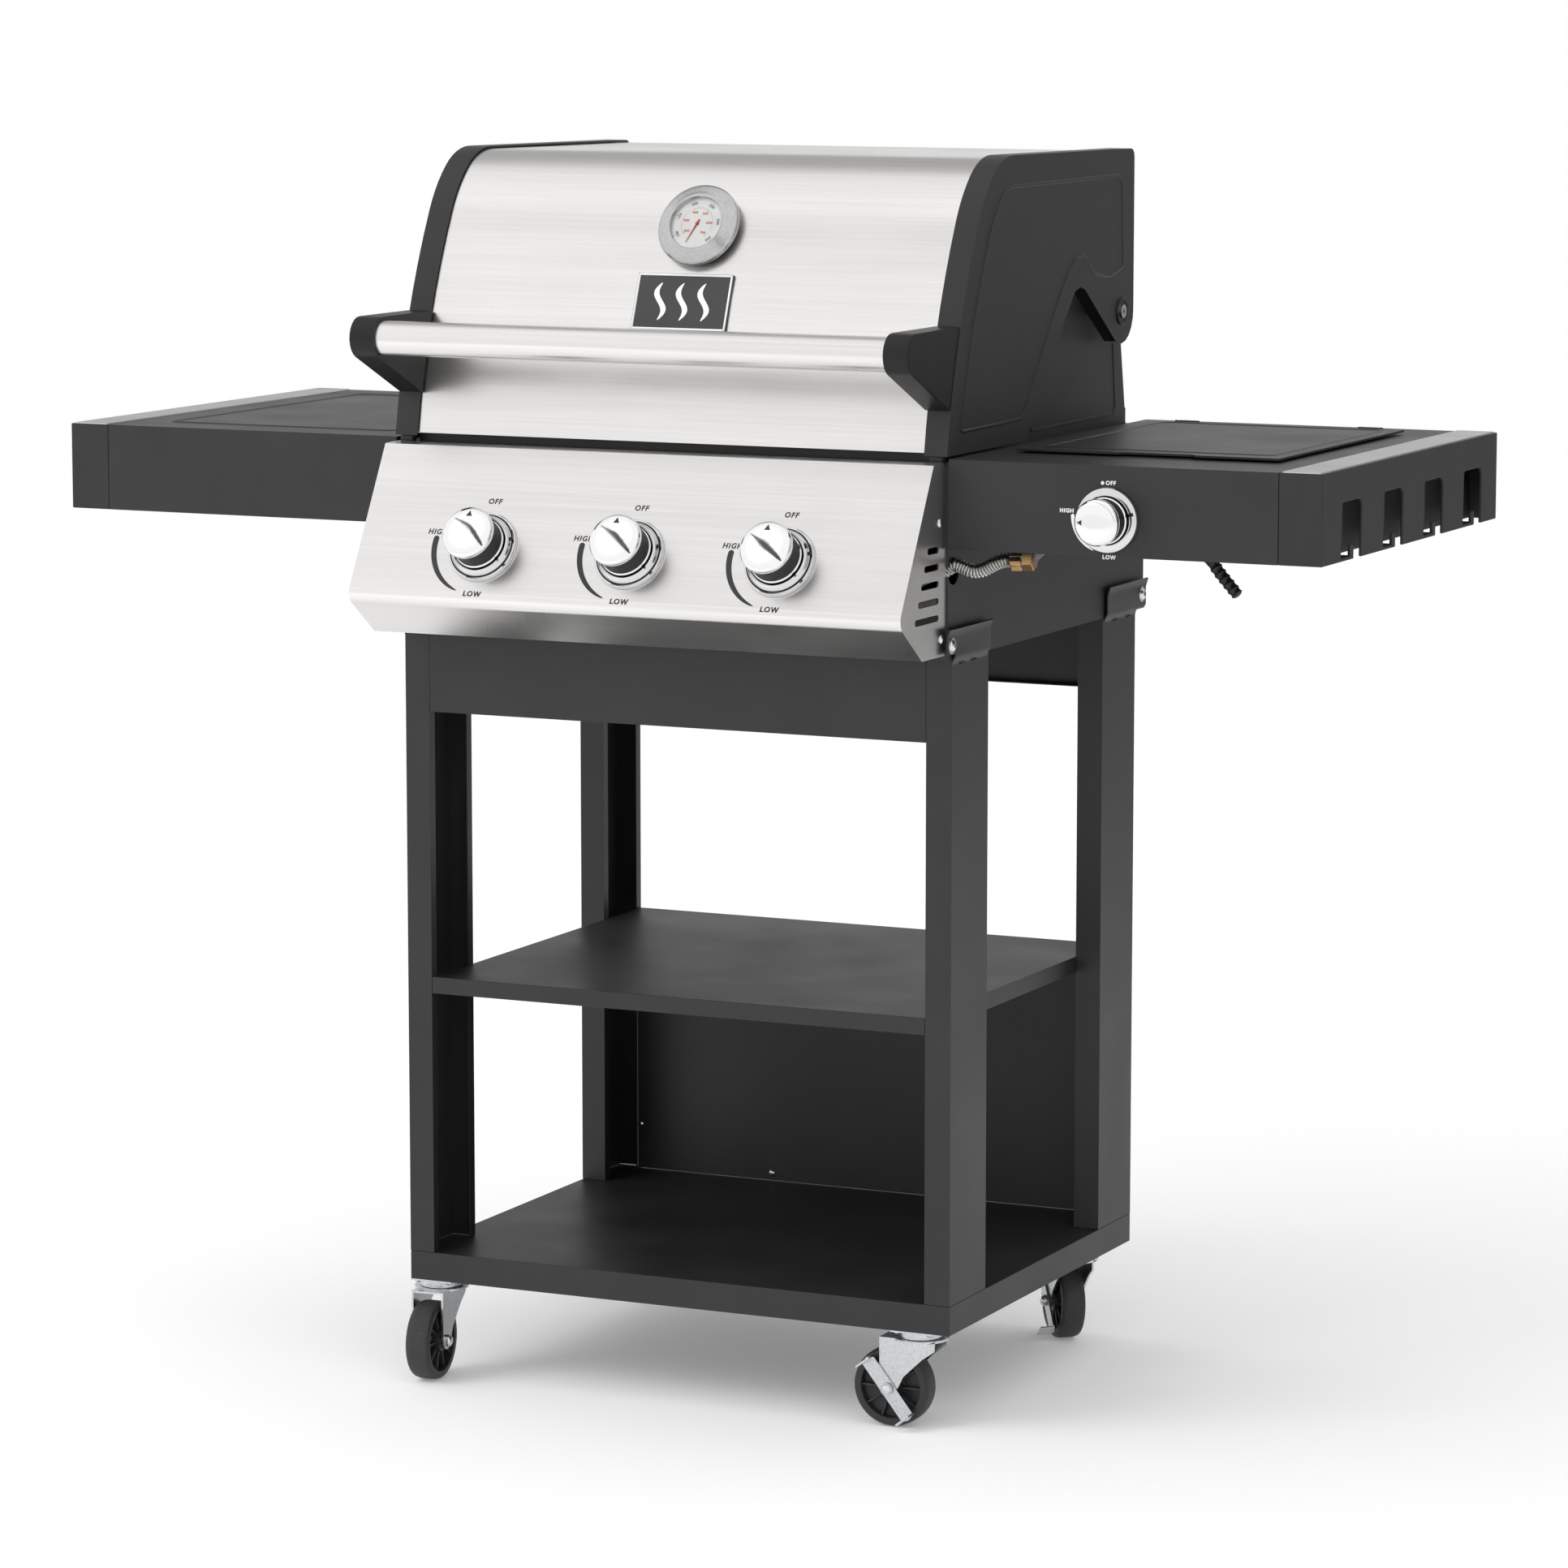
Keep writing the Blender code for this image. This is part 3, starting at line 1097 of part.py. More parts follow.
def side_burner_grate():
    """A pot support: a square frame on four feet, with bars that reach over the burner head."""
    x, y = SIDE_X, SIDE_Y
    w, d, bar = SIDE_HALF_WIDTH - 0.0060, SIDE_HALF_DEPTH - 0.0250, 0.0050
    low, high = SIDE_HEAD_TOP + 0.0050, SIDE_HEAD_TOP + 0.0100
    made = box("side_burner_grate", (x - w, y - d, low), (x + w, y + d, high))
    carve(made, box("pot_opening", (x - w + bar, y - d + bar, low - 0.01), (x + w - bar, y + d - bar, high + 0.01)))
    reach = 0.0180
    for sign in (-1, 1):
        for offset in (-0.030, 0.030):
            side = sorted((sign * reach, sign * (w - bar / 2)))
            front = sorted((sign * reach, sign * (d - bar / 2)))
            merge(
                made,
                box(f"pot_bar_x{sign}{offset}", (x + side[0], y + offset - bar / 2, low), (x + side[1], y + offset + bar / 2, high)),
                box(f"pot_bar_y{sign}{offset}", (x + offset - bar / 2, y + front[0], low), (x + offset + bar / 2, y + front[1], high)),
            )
        for other in (-1, 1):
            foot_x = sorted((x + sign * w, x + sign * (w - bar)))
            foot_y = sorted((y + other * d, y + other * (d - bar)))
            foot = (foot_x[0], foot_y[0], SIDE_FLOOR + SHEET + GAP), (foot_x[1], foot_y[1], high)
            merge(made, box(f"pot_foot_{sign}{other}", *foot))
    return made


def lid_hinge():
    """(Y, Z) of the lid's hinge axis."""
    return (LID_REAR + KNUCKLE_RADIUS + 2 * GAP, LID_LEVEL + KNUCKLE_RADIUS - GAP)


def side_burner_lid():
    """A flat lid with a finger recess in its front edge and two hinge knuckles at its rear."""
    x, w = SIDE_X, LID_HALF_WIDTH
    low, high = LID_LEVEL, LID_LEVEL + LID_SHEET
    made = box("side_burner_lid", (x - w, LID_FRONT, low), (x + w, LID_REAR, high))
    grip_width, grip_depth = LID_GRIP
    left, right = x - 0.0215, x - 0.0215 + grip_width
    outline = [
        (left - grip_depth, LID_FRONT - 0.01),
        (right + grip_depth, LID_FRONT - 0.01),
        (right + grip_depth / 2, LID_FRONT),
        (right, LID_FRONT + grip_depth / 2),
        (left, LID_FRONT + grip_depth / 2),
        (left - grip_depth / 2, LID_FRONT),
    ]
    carve(made, prism("lid_grip", outline, "Z", low - 0.01, high + 0.01))
    y, z = lid_hinge()
    for sign in (-1, 1):
        near = x + sign * KNUCKLE_X - KNUCKLE_LENGTH / 2
        far = near + KNUCKLE_LENGTH
        merge(
            made,
            rod(f"knuckle_{sign + 1}", (near, y, z), (far, y, z), KNUCKLE_RADIUS, 12),
            box(f"knuckle_leaf_{sign + 1}", (near, LID_REAR - 0.002, low), (far, y, high)),
        )
    return made


def hose_tail():
    """An elbow under the shelf that ends in a ribbed tail for a gas hose. A feed tube joins it to
    the side burner's valve."""
    top, bend, tip = Vector(HOSE_TAIL_TOP), Vector(HOSE_TAIL_BEND), Vector(HOSE_TAIL_TIP)
    made = rod("gas_hose_tail", top, bend, HOSE_TAIL_BODY_RADIUS, 14)
    valve = Vector((SIDE_KNOB_X + VALVE_RADIUS + GAP, SHELF_FRONT + 0.0350, SIDE_KNOB_LEVEL))
    corner = Vector((top.x, valve.y, SIDE_KNOB_LEVEL - 0.006))
    merge(
        made,
        rod("feed_across", valve + Vector((0.0003, 0, 0)), corner, 0.0045, 10),
        rod("feed_back", corner - Vector((0, 0.003, 0)), top - Vector((0, 0, 0.006)), 0.0045, 10),
    )
    merge(made, rod("tail_shank", bend - (tip - bend) * 0.15, tip, HOSE_TAIL_RADIUS, 14))
    ridges = 5
    for index in range(ridges):
        start = bend.lerp(tip, 0.15 + 0.75 * index / ridges)
        end = bend.lerp(tip, 0.15 + 0.75 * (index + 0.55) / ridges)
        merge(made, rod(f"tail_ridge_{index}", start, end, HOSE_TAIL_RADIUS + 0.0008, 14))
    return made


def gas_pipe():
    """A corrugated pipe's plain outer tube, from the body's side to the side burner's fitting."""
    curve = bpy.data.curves.new("gas_pipe", "CURVE")
    curve.dimensions = "3D"
    curve.bevel_depth = PIPE_RADIUS
    curve.bevel_resolution = 2
    curve.use_fill_caps = True
    points = smooth_route(PIPE_ROUTE, 2)
    spline = curve.splines.new("POLY")
    spline.points.add(len(points) - 1)
    for point, where in zip(spline.points, points):
        point.co = (*where, 1)
    return add("gas_pipe", curve)


def smooth_route(route, between):
    """Points on a smooth curve through the route's points (Catmull-Rom)."""
    points = [Vector(p) for p in route]
    ends = [2 * points[0] - points[1]] + points + [2 * points[-1] - points[-2]]
    smooth = []
    for i in range(1, len(ends) - 2):
        a, b, c, d = ends[i - 1 : i + 3]
        for k in range(between):
            t = k / between
            smooth.append(
                0.5 * (2 * b + (c - a) * t + (2 * a - 5 * b + 4 * c - d) * t**2 + (3 * b - a - 3 * c + d) * t**3)
            )
    return smooth + [points[-1]]


def footprint_middle():
    """Y of the cart's middle, so that the origin is halfway between the knobs' faces and the
    shelves' rear."""
    cap, _, height = PANEL_KNOB
    normal = panel_normal()
    reach = max(h * -normal.y + r * normal.z for r, h in knob_dome(cap, height))
    return (reach - panel_point(KNOB_LEVEL)[0] - SHELF_REAR) / 2


def build():
    clear_scene()
    looks = {
        "powder": material("charcoal_powder_coat", (0.045, 0.046, 0.049), 0.55),
        "plastic": material("charcoal_plastic", (0.050, 0.051, 0.053), 0.45),
        "steel": material("brushed_stainless", (0.62, 0.61, 0.59), 0.32, 1.0),
        "chrome": material("chrome", (0.80, 0.80, 0.81), 0.08, 1.0),
        "zinc": material("zinc_plate", (0.60, 0.62, 0.64), 0.30, 1.0),
        "wheel": material("black_rubber", (0.020, 0.020, 0.021), 0.60),
        "iron": material("cast_iron", (0.030, 0.030, 0.030), 0.60, 0.3),
        "brass": material("brass", (0.45, 0.30, 0.13), 0.35, 1.0),
    }
    middle = empty("cart_middle", (0, footprint_middle(), 0), None)
    sides = {"left": -1, "right": 1}
    ends = {"front": -1, "rear": 1}
    finish(base_tray(), looks["powder"], middle)
    for end, y in ends.items():
        for side, x in sides.items():
            finish(leg(f"leg_{end}_{side}", x, y), looks["powder"], middle)
        finish(apron(f"apron_{end}", y), looks["powder"], middle)
    finish(mid_shelf(), looks["powder"], middle)
    finish(back_panel(), looks["powder"], middle)
    casters(middle, looks)
    finish(firebox(), looks["powder"], middle)
    finish(control_panel(), looks["steel"], middle)
    finish(heat_plate(), looks["steel"], middle)
    finish(cooking_grate(), looks["iron"], middle)
    finish(warming_rack(), looks["chrome"], middle)
    finish(burner_set(), looks["steel"], middle)
    finish(gas_pipe(), looks["steel"], middle)
    finish(hose_tail(), looks["plastic"], middle)
    finish(shelf("shelf_left", -1), looks["powder"], middle)
    finish(shelf_right(), looks["powder"], middle)
    for side, x in sides.items():
        finish(end_cap(f"end_cap_{side}", x), looks["plastic"], middle)
        finish(hinge_pin(f"hinge_pin_{side}", x), looks["zinc"], middle)
    finish(side_burner(), looks["brass"], middle)
    finish(side_burner_grate(), looks["iron"], middle)
    finish(grease_tray(), looks["zinc"], middle)
    knobs(middle, looks)
    hood = empty("hood_hinge", (0, *HINGE), middle)
    hood_pieces = [finish(hood_skin(), looks["steel"], middle), finish(handle_bar(), looks["steel"], middle)]
    for side, x in sides.items():
        hood_pieces.append(finish(hood_side(f"hood_side_{side}", x), looks["powder"], middle))
        hood_pieces.append(finish(handle_bracket(f"handle_bracket_{side}", x), looks["plastic"], middle))
    for piece in hood_pieces:
        hang_about(piece, hood)
    base, normal = thermometer_place()
    place = base - hood.location
    thermometer(empty("thermometer_seat", place, hood, (math.acos(normal.z), 0, 0)), looks)
    lid_axis = empty("lid_hinge", (SIDE_X, *lid_hinge()), middle)
    hang_about(finish(side_burner_lid(), looks["powder"], middle), lid_axis)


build()
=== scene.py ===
import json
import math

import bmesh
import bpy
from mathutils import Matrix, Vector

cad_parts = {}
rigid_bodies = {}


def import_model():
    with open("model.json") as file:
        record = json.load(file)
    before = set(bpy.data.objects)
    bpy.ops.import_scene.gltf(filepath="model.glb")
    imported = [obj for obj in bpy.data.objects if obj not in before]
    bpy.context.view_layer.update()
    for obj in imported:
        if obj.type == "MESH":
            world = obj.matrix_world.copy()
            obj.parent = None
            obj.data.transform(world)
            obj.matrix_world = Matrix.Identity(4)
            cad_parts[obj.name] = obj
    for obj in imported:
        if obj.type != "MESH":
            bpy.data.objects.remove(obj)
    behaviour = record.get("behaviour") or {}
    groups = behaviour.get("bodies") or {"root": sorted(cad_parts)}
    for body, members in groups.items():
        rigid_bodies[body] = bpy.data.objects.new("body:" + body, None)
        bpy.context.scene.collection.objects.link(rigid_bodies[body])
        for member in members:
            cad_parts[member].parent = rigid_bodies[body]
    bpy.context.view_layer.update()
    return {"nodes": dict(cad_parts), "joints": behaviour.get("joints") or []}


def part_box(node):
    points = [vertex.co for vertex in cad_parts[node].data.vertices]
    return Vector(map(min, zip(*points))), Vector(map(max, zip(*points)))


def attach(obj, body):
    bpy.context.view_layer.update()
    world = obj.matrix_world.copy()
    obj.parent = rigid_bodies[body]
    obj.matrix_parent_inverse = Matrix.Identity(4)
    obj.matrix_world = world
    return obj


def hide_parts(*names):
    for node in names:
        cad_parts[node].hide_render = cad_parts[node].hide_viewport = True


for startup in list(bpy.data.objects):
    bpy.data.objects.remove(startup)
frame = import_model()

# The cart's middle in Y, and places that the CAD gives
low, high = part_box("mid_shelf")
MIDDLE = (low.y + high.y) / 2
SHELF_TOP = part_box("shelf_left")[1].z
PANEL_TOP, PANEL_BEND = (-0.2601, 0.8968), (-0.3360, 0.7608)
LEAN = math.atan2(PANEL_TOP[1] - PANEL_BEND[1], PANEL_TOP[0] - PANEL_BEND[0])
PANEL_NORMAL = Vector((0, -math.sin(LEAN), math.cos(LEAN)))
KNOB_LEVEL, KNOB_PITCH = 0.8093, 0.150
HOOD_ARC_CENTRE, HOOD_ARC_RADIUS = (0.4030, 0.8016), 0.6470
SKIN_RECESS = 0.0025
HINGE = (0.1787, 1.0089)


def at(x, y, z):
    """A point given about the cart's middle."""
    return Vector((x, y + MIDDLE, z))


# ---------------------------------------------------------------- materials


def shader_of(name):
    made = bpy.data.materials.new(name)
    made.use_nodes = True
    return made, made.node_tree, made.node_tree.nodes["Principled BSDF"]


def mapped(tree, scale, rotation=(0, 0, 0)):
    where = tree.nodes.new("ShaderNodeTexCoord")
    mapping = tree.nodes.new("ShaderNodeMapping")
    mapping.inputs["Scale"].default_value = scale
    mapping.inputs["Rotation"].default_value = rotation
    tree.links.new(where.outputs["Object"], mapping.inputs["Vector"])
    return mapping.outputs["Vector"]


def noise(tree, vector, scale, detail=3.0, rough=0.5):
    made = tree.nodes.new("ShaderNodeTexNoise")
    made.inputs["Scale"].default_value = scale
    made.inputs["Detail"].default_value = detail
    made.inputs["Roughness"].default_value = rough
    tree.links.new(vector, made.inputs["Vector"])
    return made.outputs["Fac"]


def ramp(tree, value, stops):
    made = tree.nodes.new("ShaderNodeValToRGB")
    elements = made.color_ramp.elements
    while len(elements) < len(stops):
        elements.new(0.5)
    for element, (place, colour) in zip(elements, stops):
        element.position = place
        element.color = (*colour, 1) if len(colour) == 3 else colour
    tree.links.new(value, made.inputs["Fac"])
    return made.outputs["Color"]


def spread(tree, value, lowest, highest):
    made = tree.nodes.new("ShaderNodeMapRange")
    made.inputs["From Min"].default_value = 0.3
    made.inputs["From Max"].default_value = 0.7
    made.inputs["To Min"].default_value = lowest
    made.inputs["To Max"].default_value = highest
    tree.links.new(value, made.inputs["Value"])
    return made.outputs["Result"]


def bump(tree, shader, height, strength, distance, below=None):
    made = tree.nodes.new("ShaderNodeBump")
    made.inputs["Strength"].default_value = strength
    made.inputs["Distance"].default_value = distance
    tree.links.new(height, made.inputs["Height"])
    if below:
        tree.links.new(below, made.inputs["Normal"])
    tree.links.new(made.outputs["Normal"], shader.inputs["Normal"])
    return made.outputs["Normal"]


def brushed(name, dark, light, rough, scale=(4, 480, 480), strength=0.05, turn=(0, 0, 0)):
    """Metal with a fine straight grain, faint broad streaks and cloudy patches."""
    made, tree, shader = shader_of(name)
    grain = noise(tree, mapped(tree, scale, turn), 1.0, 2.5, 0.6)
    broad = noise(tree, mapped(tree, (1.2, 40, 40), turn), 1.0, 2.0)
    both = tree.nodes.new("ShaderNodeMix")
    both.inputs["Factor"].default_value = 0.45
    tree.links.new(grain, both.inputs["A"])
    tree.links.new(broad, both.inputs["B"])
    value = both.outputs["Result"]
    colour = ramp(tree, value, ((0.30, dark), (0.70, light)))
    tree.links.new(colour, shader.inputs["Base Color"])
    cloud = noise(tree, mapped(tree, (7, 7, 7)), 1.0, 2.0)
    tree.links.new(spread(tree, cloud, rough - 0.03, rough + 0.04), shader.inputs["Roughness"])
    shader.inputs["Metallic"].default_value = 1
    bump(tree, shader, grain, strength, 0.00012)
    return made


def powder(name, colour, rough, scale=1500, strength=0.22, sheen=0.30):
    """Textured powder coat: a fine even pebble, with rubbed patches a little smoother."""
    made, tree, shader = shader_of(name)
    where = mapped(tree, (1, 1, 1))
    cloud = noise(tree, where, 9.0, 3.0)
    pebble = noise(tree, where, scale, 2.0, 0.6)
    lit = tuple(c * 1.18 for c in colour)
    shade = tuple(c * 0.86 for c in colour)
    tree.links.new(ramp(tree, cloud, ((0.35, shade), (0.65, lit))), shader.inputs["Base Color"])
    tree.links.new(spread(tree, cloud, rough - 0.04, rough + 0.05), shader.inputs["Roughness"])
    shader.inputs["Specular IOR Level"].default_value = sheen
    bump(tree, shader, pebble, strength, 0.00012)
    return made


def polished(name, colour, rough, smear=0.03):
    """Bright metal with faint smears in its polish."""
    made, tree, shader = shader_of(name)
    cloud = noise(tree, mapped(tree, (1, 1, 1)), 60.0, 3.0)
    shader.inputs["Base Color"].default_value = (*colour, 1)
    tree.links.new(spread(tree, cloud, rough, rough + smear), shader.inputs["Roughness"])
    shader.inputs["Metallic"].default_value = 1
    return made


def zinc(name):
    """Bright zinc plate: a mottled crystalline sheen."""
    made, tree, shader = shader_of(name)
    patches = tree.nodes.new("ShaderNodeTexVoronoi")
    patches.inputs["Scale"].default_value = 900
    tree.links.new(mapped(tree, (1, 1, 1)), patches.inputs["Vector"])
    colour = ramp(tree, patches.outputs["Color"], ((0.2, (0.56, 0.58, 0.60)), (0.8, (0.68, 0.70, 0.71))))
    tree.links.new(colour, shader.inputs["Base Color"])
    cloud = noise(tree, mapped(tree, (1, 1, 1)), 40.0)
    tree.links.new(spread(tree, cloud, 0.20, 0.30), shader.inputs["Roughness"])
    shader.inputs["Metallic"].default_value = 1
    return made


def plastic(name, colour, rough, grain=900, strength=0.10, sheen=0.4):
    """Moulded plastic or rubber with a fine leathery grain."""
    made, tree, shader = shader_of(name)
    where = mapped(tree, (1, 1, 1))
    cloud = noise(tree, where, 14.0, 3.0)
    lit = tuple(c * 1.12 for c in colour)
    shade = tuple(c * 0.9 for c in colour)
    tree.links.new(ramp(tree, cloud, ((0.35, shade), (0.65, lit))), shader.inputs["Base Color"])
    tree.links.new(spread(tree, cloud, rough - 0.03, rough + 0.05), shader.inputs["Roughness"])
    shader.inputs["Specular IOR Level"].default_value = sheen
    bump(tree, shader, noise(tree, where, grain, 2.0), strength, 0.0001)
    return made


def worn_rubber(name):
    """Black rubber for the tread, scuffed grey in fine patches all over."""
    made, tree, shader = shader_of(name)
    scuff = noise(tree, mapped(tree, (1, 1, 1)), 500.0, 4.0, 0.7)
    colour = ramp(tree, scuff, ((0.40, (0.028, 0.028, 0.029)), (0.68, (0.048, 0.048, 0.048))))
    tree.links.new(colour, shader.inputs["Base Color"])
    tree.links.new(spread(tree, scuff, 0.45, 0.65), shader.inputs["Roughness"])
    shader.inputs["Specular IOR Level"].default_value = 0.35
    bump(tree, shader, scuff, 0.25, 0.0002)
    return made


STEEL = brushed("brushed_stainless", (0.71, 0.70, 0.685), (0.81, 0.80, 0.785), 0.28)
DIAL_STEEL = brushed("turned_stainless", (0.44, 0.44, 0.44), (0.56, 0.56, 0.56), 0.24, (300, 300, 300), 0.05)
POWDER = powder("charcoal_powder_coat", (0.018, 0.018, 0.0195), 0.44, sheen=0.42)
CAP = plastic("charcoal_plastic", (0.019, 0.019, 0.020), 0.42, sheen=0.36)
BRACKET = plastic("bracket_plastic", (0.009, 0.009, 0.0095), 0.42, 1100, 0.12, 0.28)
STRIP = brushed("satin_strip", (0.52, 0.52, 0.52), (0.64, 0.64, 0.64), 0.42, (900, 5, 900), 0.06)
CHROME = polished("chrome", (0.86, 0.86, 0.87), 0.035)
RING = polished("ring_chrome", (0.66, 0.66, 0.67), 0.05)
ZINC = zinc("zinc_plate")
BOLT = polished("bolt_plate", (0.72, 0.72, 0.73), 0.16, 0.08)
WHEEL = plastic("black_wheel", (0.022, 0.022, 0.023), 0.40, 500, 0.06)
TREAD = worn_rubber("worn_tread")
SKIRT = plastic("knob_skirt", (0.010, 0.010, 0.010), 0.34, 1400, 0.5)
RUBBER = plastic("hose_rubber", (0.012, 0.012, 0.012), 0.40, 1200, 0.2)
IRON = powder("cast_iron", (0.020, 0.020, 0.020), 0.62, 700, 0.5, 0.3)
INNER = brushed("burner_steel", (0.30, 0.28, 0.26), (0.46, 0.44, 0.41), 0.40, (200, 12, 200), 0.2)
BRASS = brushed("brass", (0.30, 0.16, 0.07), (0.52, 0.33, 0.15), 0.34, (200, 500, 500), 0.15)
PIPE = polished("pipe_steel", (0.55, 0.54, 0.52), 0.20, 0.10)
DULL = brushed("dull_steel", (0.10, 0.10, 0.10), (0.17, 0.165, 0.16), 0.45, (200, 12, 200), 0.2)
GREY_INK = plastic("grey_ink", (0.042, 0.042, 0.044), 0.5, sheen=0.2)
WHITE_INK = plastic("white_ink", (0.85, 0.85, 0.85), 0.5)
# Black for the hinge washers, and painted shade: the screws' cross recesses, the side slots, the lid's finger grip
# and the bezels' flame slots, grooves and bores
BLACK_AND_SHADE = plastic("black_and_painted_shade", (0.006, 0.006, 0.006), 0.4)
DIAL = brushed("dial_silver", (0.62, 0.63, 0.62), (0.72, 0.73, 0.72), 0.38, (60, 60, 60), 0.02)
RED = plastic("red_ink", (0.45, 0.05, 0.03), 0.5)
PLATE = plastic("plate_dark", (0.045, 0.045, 0.047), 0.42, 1500, 0.2)


# ---------------------------------------------------------------- CAD nodes


def smooth_group(angle):
    """Geometry nodes that shade smoothly across edges flatter than an angle."""
    tree = bpy.data.node_groups.new("smooth_by_angle", "GeometryNodeTree")
    tree.interface.new_socket("Geometry", in_out="INPUT", socket_type="NodeSocketGeometry")
    tree.interface.new_socket("Geometry", in_out="OUTPUT", socket_type="NodeSocketGeometry")
    make = tree.nodes.new
    start, end = make("NodeGroupInput"), make("NodeGroupOutput")
    faces, edges = make("GeometryNodeSetShadeSmooth"), make("GeometryNodeSetShadeSmooth")
    faces.domain, edges.domain = "FACE", "EDGE"
    edges.inputs["Shade Smooth"].default_value = False
    turn, compare = make("GeometryNodeInputMeshEdgeAngle"), make("FunctionNodeCompare")
    compare.data_type, compare.operation = "FLOAT", "GREATER_THAN"
    compare.inputs["B"].default_value = angle
    link = tree.links.new
    link(turn.outputs["Unsigned Angle"], compare.inputs["A"])
    link(compare.outputs["Result"], edges.inputs["Selection"])
    link(start.outputs["Geometry"], faces.inputs["Geometry"])
    link(faces.outputs["Geometry"], edges.inputs["Geometry"])
    link(edges.outputs["Geometry"], end.inputs["Geometry"])
    return tree


SMOOTH = smooth_group(math.radians(32))


def dress(name, look, edge=0.0):
    """Gives a CAD node its finish, rounds its edges a little and shades its curves smoothly."""
    node = frame["nodes"][name]
    for place in node.material_slots:
        place.material = look
    weld = node.modifiers.new("weld", "WELD")
    weld.merge_threshold = 0.00001
    if edge:
        flat = node.modifiers.new("flat", "DECIMATE")
        flat.decimate_type = "DISSOLVE"
        flat.angle_limit = math.radians(0.6)
        rim = node.modifiers.new("rim", "BEVEL")
        rim.width = edge
        rim.segments = 2
        rim.limit_method = "ANGLE"
        rim.angle_limit = math.radians(40)
        rim.use_clamp_overlap = True
    shade = node.modifiers.new("shade", "NODES")
    shade.node_group = SMOOTH
    if edge:
        even = node.modifiers.new("even", "WEIGHTED_NORMAL")
        even.keep_sharp = True
    return node


FINISHES = (
    # look, rounding of the edges, nodes
    (POWDER, 0.0006, ("base_tray", "mid_shelf", "back_panel", "apron_front", "apron_rear")),
    (POWDER, 0.0006, ("shelf_left", "shelf_right", "firebox", "side_burner_lid")),
    (POWDER, 0.0007, ("leg_front_left", "leg_front_right", "leg_rear_left", "leg_rear_right")),
    (POWDER, 0.0008, ("hood_side_left", "hood_side_right")),
    (STEEL, 0.0005, ("control_panel",)),
    (STEEL, 0.0, ("hood_skin", "handle_bar")),
    (BRACKET, 0.0012, ("handle_bracket_left", "handle_bracket_right")),
    (CAP, 0.0009, ("end_cap_left", "end_cap_right")),
    (IRON, 0.0, ("cooking_grate", "side_burner_grate")),
    (CHROME, 0.0, ("warming_rack",)),
    (INNER, 0.0, ("burner_set", "heat_plate", "grease_tray")),
    (DULL, 0.0, ("side_burner",)),
    (BOLT, 0.0, ("hinge_pin_left", "hinge_pin_right")),
    (BOLT, 0.0, ("valve_stem_left", "valve_stem_middle", "valve_stem_right", "valve_stem_side")),
)
for look, edge, names in FINISHES:
    for node_name in names:
        dress(node_name, look, edge)
PLACES = ("front_left", "front_right", "rear_left", "rear_right")
for place_name in PLACES:
    dress(f"caster_plate_{place_name}", ZINC, 0.0004)
    dress(f"caster_fork_{place_name}", ZINC, 0.0004)
for place_name in ("front_right", "rear_right"):
    dress(f"brake_lever_{place_name}", ZINC, 0.0004)


# ---------------------------------------------------------------- shape helpers


def frame_at(point, normal, up):
    """A matrix whose +Z is a normal and whose +Y leans towards up."""
    z = Vector(normal).normalized()
    x = Vector(up).cross(z).normalized()
    y = z.cross(x)
    turn = Matrix((x, y, z)).transposed().to_4x4()
    return Matrix.Translation(point) @ turn


def piece(name, mesh, looks, body, matrix=None, crease=35):
    """An object made of a mesh, with its looks, that rides on a body."""
    made = bpy.data.objects.new(name, mesh)
    bpy.context.scene.collection.objects.link(made)
    for look in looks if isinstance(looks, (list, tuple)) else [looks]:
        mesh.materials.append(look)
    if matrix is not None:
        mesh.transform(matrix)
    mesh.shade_smooth()
    mesh.set_sharp_from_angle(angle=math.radians(crease))
    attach(made, body)
    return made


def mesh_of(shape, name):
    """Turns a bmesh into a mesh whose faces point outwards."""
    bmesh.ops.recalc_face_normals(shape, faces=shape.faces)
    mesh = bpy.data.meshes.new(name)
    shape.to_mesh(mesh)
    shape.free()
    return mesh


def lathe(shape, profile, steps=96, matrix=None, closed=False, look=0):
    """Turns (radius, height[, material]) points about Z into a bmesh."""
    rings = []
    for point in profile:
        radius, height = point[0], point[1]
        if radius < 1e-7:
            rings.append([shape.verts.new((0, 0, height))])
            continue
        ring = []
        for i in range(steps):
            a = 2 * math.pi * i / steps
            ring.append(shape.verts.new((radius * math.cos(a), radius * math.sin(a), height)))
        rings.append(ring)
    pairs = list(zip(rings, rings[1:], profile))
    if closed:
        pairs.append((rings[-1], rings[0], profile[-1]))
    for one, two, point in pairs:
        index = point[2] if len(point) > 2 else look
        for i in range(steps):
            j = (i + 1) % steps
            corners = [one[i % len(one)], one[j % len(one)], two[j % len(two)], two[i % len(two)]]
            unique = list(dict.fromkeys(corners))
            if len(unique) > 2:
                shape.faces.new(unique).material_index = index
    if matrix is not None:
        fresh = [v for ring in rings for v in ring]
        bmesh.ops.transform(shape, matrix=matrix, verts=fresh)


def block(shape, lowest, highest, edge=0.0, matrix=None, look=0, segments=2):
    """A box with rounded edges, added to a bmesh."""
    size = [b - a for a, b in zip(lowest, highest)]
    middle = [(a + b) / 2 for a, b in zip(lowest, highest)]
    place = Matrix.Translation(middle) @ Matrix.Diagonal((*size, 1))
    made = bmesh.ops.create_cube(shape, size=1, matrix=place)
    verts = made["verts"]
    if edge:
        edges = list({e for v in verts for e in v.link_edges})
        done = bmesh.ops.bevel(shape, geom=edges, offset=edge, segments=segments, affect="EDGES", profile=0.5)
        verts = list({v for f in done["faces"] for v in f.verts} | {v for v in verts if v.is_valid})
    for face in {f for v in verts for f in v.link_faces}:
        face.material_index = look
    if matrix is not None:
        bmesh.ops.transform(shape, matrix=matrix, verts=verts)


